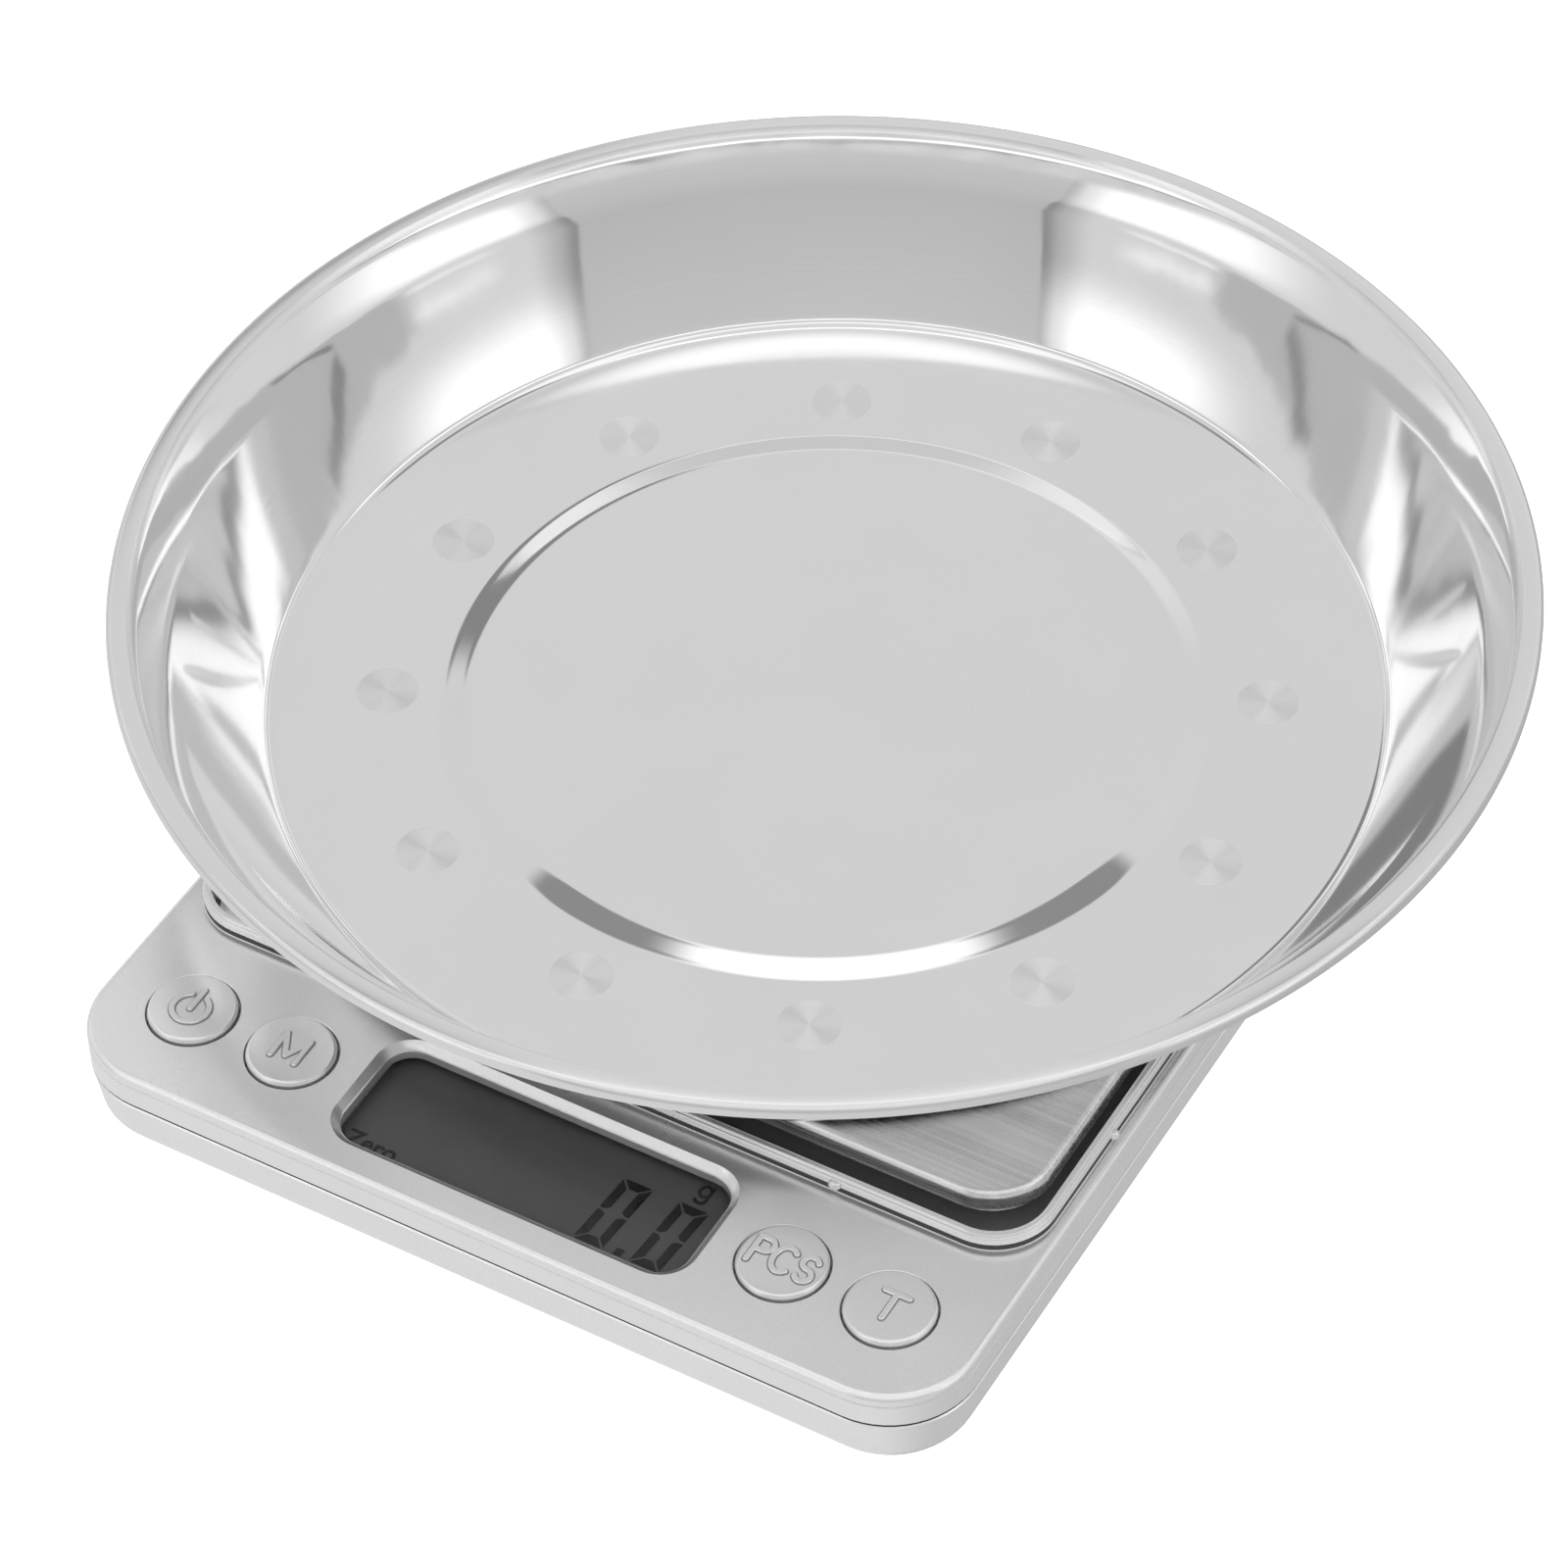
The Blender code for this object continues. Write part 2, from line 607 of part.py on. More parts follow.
# ---- power -----------------------------------------------------------------------------------------
def build_batteries():
    """Two AAA cells side by side, facing opposite ways, joined at the rear end."""
    body, nub = BATTERY_BODY, BATTERY_NUB
    profile = [
        (0, body / 2 + nub),
        (1.7, body / 2 + nub),
        (1.9, body / 2 + nub - 0.2),
        (1.9, body / 2),
        (BATTERY_RADIUS - 0.5, body / 2),
        (BATTERY_RADIUS, body / 2 - 0.5),
        (BATTERY_RADIUS, 0.5 - body / 2),
        (BATTERY_RADIUS - 0.5, -body / 2),
        (0, -body / 2),
    ]
    middle = 85.1
    for name, x, turn in (("battery_left", BATTERY_XS[0], 90), ("battery_right", BATTERY_XS[1], -90)):
        battery = turned(name, profile, 20, (x, middle, BATTERY_Z), BATTERY_WRAP)
        battery.rotation_euler = (math.radians(turn), 0, 0)


def contact(name, x_low, x_high, face_y, tab_x=None):
    """A thin contact plate against an end wall of the bay, with a solder tab through the wall."""
    bm = bmesh.new()
    add_block(bm, (x_low, face_y, 4.2), (x_high, face_y + 0.4, 12.2))
    plate = settle(name, bm, ZINC_STEEL)
    if tab_x is not None:
        low = (tab_x - 1.0, BAY_Y[0] - TAB_REACH, 4.5)
        join(plate, block(name + "_tab", low, (tab_x + 1.0, face_y + 0.2, 4.9)))


def coil(name, x, start_y, end_y, narrow_end):
    """A conical compression spring along Y, its wire ends lying flat."""
    turns, per_turn = 3.5, 10
    count = int(turns * per_turn)
    points = []
    for i in range(count + 1):
        share = i / count
        angle = math.tau * turns * share
        radius = 3.2 - 1.2 * (share if narrow_end else 1 - share)
        y = start_y + (end_y - start_y) * share
        points.append(Vector((x + radius * math.cos(angle), y, BATTERY_Z + radius * math.sin(angle))))
    wire(name, points, 0.3, ZINC_STEEL, 1)


def build_contacts():
    left, right = BATTERY_XS
    front = BAY_Y[0] + GAP
    rear = BAY_Y[1] - GAP - 0.4
    contact("battery_positive_contact", left - 4, left + 4, front, left)
    contact("battery_negative_contact", right - 4, right + 4, front, right)
    contact("battery_link_contact", left - 4, right + 4, rear)
    coil("battery_negative_spring", right, front + 0.4 + 0.65, 62.8, True)
    coil("battery_link_spring", left, 107.4, rear - 0.65, False)


LEAD_RADIUS = 0.55
CABLE_RADIUS = 0.7
LEAD_Z = 3.65


def build_wiring():
    """The battery leads and the load cell's cable, along the floor to the underside of the board."""
    tab_end = BAY_Y[0] - TAB_REACH - GAP
    left, right = BATTERY_XS
    red = [(left, tab_end, 4.7), (left, 55, 4.6), (21.2, 51, 3.8), (19.6, 42, LEAD_Z)]
    red += [(20.4, 32, LEAD_Z), (25, 24.5, LEAD_Z), (27, 19.5, LEAD_Z)]
    black = [(right, tab_end, 4.7), (right, 55, 4.6), (31.8, 51, 3.8), (27.5, 44, LEAD_Z)]
    black += [(25.6, 36, LEAD_Z), (28.4, 28, LEAD_Z), (30.2, 19.5, LEAD_Z)]
    cable = [(0, 65.4, 3.7), (0, 58, 3.7), (-0.6, 50, 3.7), (-4.5, 42, LEAD_Z)]
    cable += [(-9.5, 34, LEAD_Z), (-11.2, 26, LEAD_Z), (-11, 19.5, LEAD_Z)]
    wire("battery_lead_red", route_of(red), LEAD_RADIUS, RED_WIRE)
    wire("battery_lead_black", route_of(black), LEAD_RADIUS, BLACK_WIRE)
    wire("load_cell_cable", route_of(cable), CABLE_RADIUS, WHITE_WIRE)


def route_of(points):
    return catmull([Vector(point) for point in points], 3)


# ---- load cell -------------------------------------------------------------------------------------
def build_load_cell():
    """A binocular bending beam: the rear end is held by the case, the front end carries the platform."""
    half = CELL_WIDTH / 2
    back = CELL_FRONT + CELL_LENGTH
    cell = block("load_cell", (-half, CELL_FRONT, CELL_BOTTOM), (half, back, CELL_TOP), ALUMINIUM)
    middle_y, middle_z = (CELL_FRONT + back) / 2, (CELL_BOTTOM + CELL_TOP) / 2
    for i, offset in enumerate((-4.5, 4.5)):
        bm = bmesh.new()
        add_cylinder(bm, 0, 0, -half - 1, half + 1, 2.4, 20)
        bore = settle(f"cell_bore_{i}", bm)
        bore.rotation_euler = (0, math.pi / 2, 0)
        bore.location = Vector((0, middle_y + offset, middle_z)) * MM
        cut(cell, bore)
    low = (-half - 1, middle_y - 4.5, middle_z - 0.8)
    cut(cell, block("cell_slit", low, (half + 1, middle_y + 4.5, middle_z + 0.8)))
    holes = [(0, y) for y in CELL_BASE_HOLES + CELL_TOP_HOLES]
    cut(cell, posts("cell_holes", holes, CELL_BOTTOM - 1, CELL_TOP + 1, 1.8, 16))
    for name, bottom, top in (("lower", 3.5, CELL_BOTTOM - GAP), ("upper", CELL_TOP + GAP, 11.6)):
        low, high = (-5, middle_y - 9, bottom), (5, middle_y + 9, top)
        block("strain_gauge_cover_" + name, low, high, WHITE_PLASTIC, 2.0, 3)
    spacer("load_cell_base_spacer", CELL_BASE_HOLES, PAD_TOP + GAP, CELL_BOTTOM - GAP, CASE, (0, 0, 0))
    spacer("load_cell_top_spacer", CELL_TOP_HOLES, 11.3, 12.0, PLATFORM, HUB)


def spacer(name, hole_ys, bottom, top, parent, offset):
    offset = Vector(offset)
    low = Vector((-CELL_WIDTH / 2, min(hole_ys) - 3.6, bottom)) - offset
    high = Vector((CELL_WIDTH / 2, max(hole_ys) + 3.6, top)) - offset
    plate = block(name, low, high, ZINC_STEEL, 1.0, 2, parent)
    cut(plate, posts(name + "_holes", [(0, y) for y in hole_ys], bottom - 1, top + 1, 1.8, 16))


# ---- platform and pan ------------------------------------------------------------------------------
HUB = Vector((0, sum(CELL_TOP_HOLES) / 2, 12.3))
PLATFORM = make_empty("platform_axis", HUB, CASE)


def build_platform():
    """A brushed steel tray upside down over a plastic carrier, which sits on the load cell's front end."""
    half = PLATE_HALF_WIDTH
    bottom = PLATE_TOP - PLATE_SKIRT
    bm = bmesh.new()
    add_block(bm, (-half, PLATE_FRONT, bottom), (half, PLATE_BACK, PLATE_TOP), PLATE_RADIUS, 6)
    round_rim(bm, PLATE_TOP, 1.3, 3)
    bmesh.ops.translate(bm, verts=bm.verts, vec=-HUB)
    plate = settle("platform_plate", bm, BRUSHED_STEEL, parent=PLATFORM)
    inner = half - PLATE_SHEET
    low = (-inner, PLATE_FRONT + PLATE_SHEET, bottom - 1)
    high = (inner, PLATE_BACK - PLATE_SHEET, PLATE_TOP - PLATE_SHEET)
    cut(plate, block("plate_inside", low, high, None, PLATE_RADIUS - PLATE_SHEET, 6))
    shade_round(plate)

    reach = inner - 0.4
    front, back = PLATE_FRONT + PLATE_SHEET + 0.4, PLATE_BACK - PLATE_SHEET - 0.4
    web_top = PLATE_TOP - PLATE_SHEET - GAP
    web_bottom = web_top - 1.6
    low, high = Vector((-reach, front, 13.0)), Vector((reach, back, web_top))
    carrier = block("platform_carrier", low - HUB, high - HUB, BLACK_PLASTIC, 5.8, 4, PLATFORM)
    room_low = (-reach + 1.6, front + 1.6, 12.0)
    cut(carrier, block("carrier_room", room_low, (reach - 1.6, back - 1.6, web_bottom), None, 4.2, 4))
    hub_low, hub_high = (-8, 50, HUB.z), (8, 67, web_bottom + 0.4)
    rib = 0.8
    join(
        carrier,
        block("carrier_hub", hub_low, hub_high, None, 2.0, 3),
        block("carrier_rib_x", (-reach + 1, 58 - rib, 13.1), (reach - 1, 58 + rib, web_bottom + 0.3)),
        block("carrier_rib_y", (-rib, front + 1, 13.1), (rib, back - 1, web_bottom + 0.3)),
    )
    screws = [(0, y) for y in CELL_TOP_HOLES]
    cut(
        carrier,
        block("carrier_opening", (12.2, 57.0, 12.0), (41.8, 113.4, web_top + 1), None, 1.0, 2),
        posts("platform_screw_recesses", screws, PLATFORM_SCREW_SEAT - GAP, web_top + 1, 2.9),
        posts("platform_screw_ways", screws, 12.0, PLATFORM_SCREW_SEAT, 1.8),
    )


def offset(points, distance):
    """The line of points moved sideways by a distance, to its right as it is followed."""
    moved = []
    for i, (x, z) in enumerate(points):
        before = Vector(points[max(i - 1, 0)])
        after = Vector(points[min(i + 1, len(points) - 1)])
        arriving = (Vector((x, z)) - before).normalized() if i else (after - before).normalized()
        leaving = (after - Vector((x, z))).normalized() if i < len(points) - 1 else arriving
        along = (arriving + leaving).normalized()
        reach = distance / along.dot(leaving)
        moved.append((x + along.y * reach, z - along.x * reach))
    return moved


def pan_profile():
    """The pan's closed section: from the axis over the inside to the rolled rim, and back underneath."""
    floor = PAN_FLOOR
    x, z = PAN_SHOULDER
    slope = math.atan2(z - floor, x - PAN_FOOT)
    bend_x = PAN_FOOT - PAN_FOOT_FILLET * math.tan(slope / 2)
    inside = [(0, floor + PAN_DISC_RISE), (PAN_DISC_RADIUS, floor + PAN_DISC_RISE), (PAN_STEP_RADIUS, floor)]
    bend_end = math.degrees(slope) - 90
    inside += arc((bend_x, floor + PAN_FOOT_FILLET), PAN_FOOT_FILLET, -90, bend_end, 4)
    for share in (0.0, 0.5, 1.0):
        angle = slope - math.radians(PAN_SHOULDER_TURN) * share
        out = PAN_SHOULDER_RADIUS * (math.sin(slope) - math.sin(angle))
        up = PAN_SHOULDER_RADIUS * (math.cos(angle) - math.cos(slope))
        inside.append((x + out, z + up))
    inside += [(PAN_RADIUS - 2.4, PAN_RIM - 0.1), (PAN_RADIUS - 1.6, PAN_RIM)]
    inside += [(PAN_RADIUS - 0.5, PAN_RIM - 0.3), (PAN_RADIUS, PAN_RIM - 0.8), (PAN_RADIUS, PAN_RIM - 1.5)]
    return inside + offset(inside, PAN_SHEET)[::-1]


def build_pan():
    profile = [(r, z - PAN_FLOOR) for r, z in pan_profile()]
    turned("weighing_pan", profile, PAN_STEPS, (PAN_X, PAN_Y, PAN_FLOOR), POLISHED_STEEL)


build_lower_case()
build_upper_case()
build_battery_door()
build_feet()
build_display()
build_circuit_board()
build_buttons()
build_batteries()
build_contacts()
build_wiring()
build_load_cell()
build_platform()
build_screws()
build_pan()
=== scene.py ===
"""Looks of the digital gram scale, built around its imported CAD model.

The CAD fixes every size and place. This script replaces the outer skins with finer ones on the same
outlines, gives every piece its material, and sets a white studio with a camera. Lengths in the helpers
are millimetres in the case's frame: x from its centre line, y from its front edge, z from the table.
"""

import math

import bmesh
import bpy
from mathutils import Matrix, Vector


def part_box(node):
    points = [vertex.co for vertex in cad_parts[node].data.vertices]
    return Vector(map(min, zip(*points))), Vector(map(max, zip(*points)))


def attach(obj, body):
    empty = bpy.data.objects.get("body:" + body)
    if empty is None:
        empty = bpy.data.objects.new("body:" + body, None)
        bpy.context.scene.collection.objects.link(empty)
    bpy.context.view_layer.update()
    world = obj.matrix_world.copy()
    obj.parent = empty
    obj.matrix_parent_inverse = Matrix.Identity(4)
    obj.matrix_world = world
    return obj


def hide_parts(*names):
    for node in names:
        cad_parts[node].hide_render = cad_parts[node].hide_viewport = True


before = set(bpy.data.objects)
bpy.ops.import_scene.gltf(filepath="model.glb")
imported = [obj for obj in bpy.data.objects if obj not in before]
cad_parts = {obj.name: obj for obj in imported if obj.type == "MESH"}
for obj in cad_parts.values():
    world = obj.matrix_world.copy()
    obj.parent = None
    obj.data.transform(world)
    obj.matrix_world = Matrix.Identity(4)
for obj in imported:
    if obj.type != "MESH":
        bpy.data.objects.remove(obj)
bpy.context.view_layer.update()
MM = 0.001

CASE_LOW, CASE_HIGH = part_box("upper_case")
CASE_ORIGIN = Vector(((CASE_LOW.x + CASE_HIGH.x) / 2, CASE_LOW.y, 0.0))
CASE_WIDTH = (CASE_HIGH.x - CASE_LOW.x) / MM
CASE_DEPTH = (CASE_HIGH.y - CASE_LOW.y) / MM
PAN_LOW, PAN_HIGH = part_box("weighing_pan")
PAN_ORIGIN = Vector(((PAN_LOW.x + PAN_HIGH.x) / 2, (PAN_LOW.y + PAN_HIGH.y) / 2, PAN_LOW.z))
PLATE_LOW, PLATE_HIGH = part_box("platform_plate")


# ---- meshes from rings ----
def inset(box, distance, z, count):
    """A rounded box's outline moved inwards (outwards where the distance is negative), anticlockwise.

    The box is (x0, x1, y0, y1, corner radius), and each corner gets count + 1 points."""
    x0, x1, y0, y1, corner = box
    radius = corner - distance
    corners = [
        (x1 - corner, y0 + corner, -90),
        (x1 - corner, y1 - corner, 0),
        (x0 + corner, y1 - corner, 90),
        (x0 + corner, y0 + corner, 180),
    ]
    points = []
    for x, y, start in corners:
        for i in range(count + 1):
            a = math.radians(start + 90 * i / count)
            points.append((x + radius * math.cos(a), y + radius * math.sin(a), z))
    return points


def circle(x, y, radius, z, count):
    turns = [math.tau * i / count for i in range(count)]
    return [(x + radius * math.cos(a), y + radius * math.sin(a), z) for a in turns]


def quarter(middle, z, radius, start, end, count=6):
    """(inset, z) points on an arc about (middle, z), angles in degrees, 0 outwards and 90 up."""
    angles = [math.radians(start + (end - start) * i / count) for i in range(count + 1)]
    return [(middle - radius * math.cos(a), z + radius * math.sin(a)) for a in angles]


def join_rings(bm, low, high):
    """Faces between two rings of equal length."""
    for i in range(len(low)):
        j = (i + 1) % len(low)
        bm.faces.new((low[i], low[j], high[j], high[i]))


class Skin:
    """A closed mesh made of stacked rings and flat fills between them."""

    def __init__(self):
        self.bm = bmesh.new()

    def stack(self, rings):
        """Joins point rings of equal length into a wall, and returns its first and last ring."""
        made = [[self.bm.verts.new(p) for p in points] for points in rings]
        for low, high in zip(made, made[1:]):
            join_rings(self.bm, low, high)
        return made[0], made[-1]

    def sweep(self, box, steps, count=10):
        """A wall along a box's rounded outline, from steps of (distance inwards, height)."""
        return self.stack([inset(box, distance, z, count) for distance, z in steps])

    def tube(self, x, y, radius, steps, count=72):
        """A round wall, from steps of (distance outwards, height)."""
        return self.stack([circle(x, y, radius + out, z, count) for out, z in steps])

    def fill(self, *rings):
        """Fills the flat area between an outer ring and the rings inside it."""
        edges = []
        for ring in rings:
            for a, b in zip(ring, ring[1:] + ring[:1]):
                edges.append(self.bm.edges.get((a, b)) or self.bm.edges.new((a, b)))
        bmesh.ops.triangle_fill(self.bm, use_beauty=True, use_dissolve=False, edges=edges)

    def done(self, name):
        return closed_mesh(name, self.bm)


def mesh_object(name, bm, origin=CASE_ORIGIN):
    bmesh.ops.scale(bm, verts=bm.verts, vec=(MM, MM, MM))
    mesh = bpy.data.meshes.new(name)
    bm.to_mesh(mesh)
    bm.free()
    obj = bpy.data.objects.new(name, mesh)
    obj.location = origin
    bpy.context.scene.collection.objects.link(obj)
    return obj


def closed_mesh(name, bm, origin=CASE_ORIGIN):
    """The mesh as an object, with its faces turned outwards."""
    bmesh.ops.recalc_face_normals(bm, faces=bm.faces)
    return mesh_object(name, bm, origin)


def revolve(name, profile, count, origin):
    """A closed profile of (radius, height) turned about Z. Its ends lie on the axis."""
    bm = bmesh.new()
    rings = []
    for radius, z in profile:
        if radius < 1e-6:
            rings.append([bm.verts.new((0, 0, z))])
        else:
            rings.append([bm.verts.new(p) for p in circle(0, 0, radius, z, count)])
    for low, high in zip(rings, rings[1:]):
        if len(low) == len(high):
            join_rings(bm, low, high)
            continue
        tip, rim = (low[0], high) if len(low) == 1 else (high[0], low)
        for i in range(count):
            bm.faces.new((tip, rim[i], rim[(i + 1) % count]))
    return closed_mesh(name, bm, origin)


def smooth(obj, angle=32):
    obj.data.shade_smooth()
    obj.data.set_sharp_from_angle(angle=math.radians(angle))


def paint_where(obj, material, test):
    """A second material for the faces whose centre, in case millimetres, and normal pass a test."""
    obj.data.materials.append(material)
    index = len(obj.data.materials) - 1
    for face in obj.data.polygons:
        if test(face.center / MM, face.normal):
            face.material_index = index


def weighted(obj):
    """Normals that lean to the large faces, so that flat faces stay flat beside small roundings."""
    modifier = obj.modifiers.new("weighted_normals", "WEIGHTED_NORMAL")
    modifier.keep_sharp = True
    modifier.weight = 100


def boolean(obj, cutter, operation="DIFFERENCE"):
    """Cuts or joins a second mesh, applies the result, and removes the second mesh."""
    modifier = obj.modifiers.new("boolean", "BOOLEAN")
    modifier.operation = operation
    modifier.object = cutter
    modifier.solver = "EXACT"
    bpy.context.view_layer.update()
    graph = bpy.context.evaluated_depsgraph_get()
    mesh = bpy.data.meshes.new_from_object(obj.evaluated_get(graph))
    obj.modifiers.clear()
    obj.data = mesh
    bpy.data.objects.remove(cutter, do_unlink=True)


def slab(name, box, low, high, edge=0.0):
    """A closed rounded plate between two heights, with softened upper and lower edges."""
    steps = [(0.0, low), (0.0, high)]
    if edge:
        steps = quarter(edge, low + edge, edge, -90, 0, 2) + quarter(edge, high - edge, edge, 0, 90, 2)
    skin = Skin()
    for ring in skin.sweep(box, steps, 6):
        skin.fill(ring)
    return skin.done(name)


def post(x, y, low, high, radius):
    """A closed round post."""
    skin = Skin()
    for ring in skin.tube(x, y, radius, [(0.0, low), (0.0, high)], 32):
        skin.fill(ring)
    return skin.done("post")


# ---- material graphs ----
def rgba(color):
    return color if isinstance(color, bpy.types.NodeSocket) else (*color, 1.0)


class Graph:
    """Short calls to build a node material, or the world's sky."""

    def __init__(self, name, owner=None):
        self.material = owner or bpy.data.materials.new(name)
        self.material.use_nodes = True
        self.nodes = self.material.node_tree.nodes
        self.links = self.material.node_tree.links
        coords = self.nodes.new("ShaderNodeTexCoord").outputs
        if owner is None:
            self.shader = self.nodes["Principled BSDF"]
            self.output = self.nodes["Material Output"]
            self.coords = coords["Object"]
        else:
            self.shader = self.nodes["Background"]
            self.coords = coords["Generated"]

    def add(self, kind, inputs=None, **settings):
        node = self.nodes.new(kind)
        for key, value in settings.items():
            setattr(node, key, value)
        for key, value in (inputs or {}).items():
            self.set(node.inputs[key], value)
        return node

    def set(self, socket, value):
        if isinstance(value, bpy.types.NodeSocket):
            self.links.new(value, socket)
        else:
            socket.default_value = value

    def math(self, operation, *values, clamp=False):
        node = self.add("ShaderNodeMath", dict(enumerate(values)), operation=operation)
        node.use_clamp = clamp
        return node.outputs[0]

    def total(self, *values):
        result = values[0]
        for value in values[1:]:
            result = self.math("ADD", result, value)
        return result

    def times(self, first, *others):
        result = first
        for value in others:
            result = self.math("MULTIPLY", result, value)
        return result

    def minus(self, first, second):
        return self.math("SUBTRACT", first, second)

    def mixed(self, first, second, share):
        """The sum of two values, with this share of the first one."""
        return self.total(self.times(first, share), self.times(second, 1.0 - share))

    def length(self, x, y):
        return self.math("SQRT", self.total(self.times(x, x), self.times(y, y)))

    def vector(self, operation, *values):
        node = self.add("ShaderNodeVectorMath", dict(enumerate(values)), operation=operation)
        return node.outputs["Vector"]

    def split(self, vector):
        return self.add("ShaderNodeSeparateXYZ", {"Vector": vector}).outputs

    def join(self, x, y, z):
        return self.add("ShaderNodeCombineXYZ", {"X": x, "Y": y, "Z": z}).outputs["Vector"]

    def noise(self, scale, detail, roughness, vector=None, stretch=(1, 1, 1)):
        stretched = self.vector("MULTIPLY", vector or self.coords, stretch)
        inputs = {"Vector": stretched, "Scale": scale, "Detail": detail, "Roughness": roughness}
        return self.add("ShaderNodeTexNoise", inputs).outputs["Fac"]

    def spread(self, value, start, end, low=0.0, high=1.0, **settings):
        """Maps a value between start and end to low and high, and holds it there past the ends."""
        inputs = {"Value": value, "From Min": start, "From Max": end, "To Min": low, "To Max": high}
        return self.add("ShaderNodeMapRange", inputs, **settings).outputs["Result"]

    def mix(self, factor, a, b):
        node = self.add("ShaderNodeMix", {0: factor, 6: rgba(a), 7: rgba(b)}, data_type="RGBA")
        return node.outputs[2]

    def tint(self, color, low, high, factor):
        """The colour scaled between low and high by a factor."""
        dark = tuple(c * low for c in color)
        light = tuple(min(1.0, c * high) for c in color)
        return self.mix(factor, dark, light)

    def bump(self, height, distance, strength=1.0, normal=None):
        inputs = {"Height": height, "Distance": distance, "Strength": strength}
        if normal is not None:
            inputs["Normal"] = normal
        return self.add("ShaderNodeBump", inputs).outputs["Normal"]

    def principled(self, **values):
        """Sets the shader's sockets, by their names in lower case with underscores."""
        for key, value in values.items():
            name = "Specular IOR Level" if key == "specular" else key.replace("_", " ").title()
            self.set(self.shader.inputs[name], rgba(value) if name.endswith("Color") else value)
        return self.material

    def surface(self, factor, first, second):
        """Ends the material in a mix of two shaders."""
        blend = self.add("ShaderNodeMixShader", {0: factor, 1: first, 2: second})
        self.links.new(blend.outputs[0], self.output.inputs["Surface"])
        return self.material


def silver_paint():
    """Satin silver lacquer on moulded plastic: fine flakes, a slight orange peel, and rubbed patches."""
    g = Graph("silver_paint")
    flake = g.noise(3000, 2.0, 0.6)
    cloud = g.noise(70, 4.0, 0.55)
    peel = g.noise(650, 2.0, 0.5)
    tone = g.spread(g.mixed(flake, cloud, 0.6), 0.36, 0.64)
    color = g.tint((0.935, 0.935, 0.94), 0.965, 1.03, tone)
    rough = g.spread(cloud, 0.3, 0.7, 0.2, 0.28)
    normal = g.bump(peel, 0.000012, 0.25, g.bump(flake, 0.000003, 0.2))
    return g.principled(base_color=color, metallic=0.72, roughness=rough, normal=normal)


def brushed_steel():
    """Stainless sheet with fine straight brushing along X and a few longer scratches."""
    g = Graph("brushed_steel")
    fine = g.noise(2600, 3.0, 0.6, stretch=(0.012, 1, 1))
    broad = g.noise(500, 2.0, 0.5, stretch=(0.02, 1, 1))
    lines = g.mixed(fine, broad, 0.65)
    color = g.tint((0.88, 0.88, 0.88), 0.82, 1.08, g.spread(lines, 0.38, 0.62))
    rough = g.spread(lines, 0.35, 0.65, 0.22, 0.34)
    normal = g.bump(lines, 0.000016, 0.6)
    g.principled(anisotropic=0.6, tangent=g.join(0.0, 1.0, 0.0))
    return g.principled(base_color=color, metallic=1.0, roughness=rough, normal=normal)


SPOT_COUNT = 12
SPOT_CIRCLE = 48.4
SPOT_RADIUS = 3.5
SPOT_PHASE = 117.5
FLANGE_INNER = 74.2


def polished_steel():
    """Mirror polished sheet, with round polishing marks, a satin rim flange and twelve ground spots."""
    g = Graph("polished_steel")
    x, y, z = g.split(g.coords)
    radius = g.length(x, y)
    angle = g.math("ARCTAN2", y, x)
    step = math.tau / SPOT_COUNT
    phase = math.radians(SPOT_PHASE)
    count = g.math("ROUND", g.math("DIVIDE", g.minus(angle, phase), step))
    snapped = g.total(g.times(count, step), phase)
    dx = g.minus(x, g.times(g.math("COSINE", snapped), SPOT_CIRCLE * MM))
    dy = g.minus(y, g.times(g.math("SINE", snapped), SPOT_CIRCLE * MM))
    from_spot = g.length(dx, dy)
    up = g.split(g.add("ShaderNodeNewGeometry").outputs["Normal"])[2]
    facing_up = g.spread(up, 0.97, 0.99)
    near = g.spread(from_spot, (SPOT_RADIUS - 0.15) * MM, (SPOT_RADIUS + 0.1) * MM, 1.0, 0.0)
    spot = g.times(near, facing_up)
    flange = g.spread(radius, (FLANGE_INNER - 0.1) * MM, (FLANGE_INNER + 0.2) * MM)
    rings = g.noise(4200, 2.0, 0.6, g.join(radius, 0.0, 0.0))
    turning = g.noise(9000, 2.0, 0.6, g.join(from_spot, 0.0, 0.0))
    haze = g.noise(45, 4.0, 0.6)
    scratch = g.noise(900, 3.0, 0.7, stretch=(1, 0.03, 1))
    rough = g.total(g.spread(haze, 0.3, 0.7, 0.035, 0.075), g.spread(scratch, 0.6, 0.8, 0.0, 0.03))
    rough = g.total(rough, g.times(spot, 0.27), g.times(flange, 0.16))
    soft = g.math("ADD", spot, flange, clamp=True)
    tone = g.spread(g.mixed(rings, haze, 0.5), 0.35, 0.65)
    color = g.tint((0.85, 0.85, 0.85), 0.98, 1.02, tone)
    height = g.total(g.times(rings, flange), g.times(turning, spot))
    normal = g.bump(height, 0.000012, g.times(soft, 0.6), g.bump(haze, 0.00004, 0.25))
    from_axis = g.vector("NORMALIZE", g.join(x, y, 0.0))
    from_middle = g.vector("NORMALIZE", g.join(dx, dy, 0.0))
    tangent = g.add("ShaderNodeMix", {0: spot, 4: from_axis, 5: from_middle}, data_type="VECTOR")
    g.principled(anisotropic=0.85, tangent=tangent.outputs[1])
    return g.principled(base_color=color, metallic=1.0, roughness=rough, normal=normal)


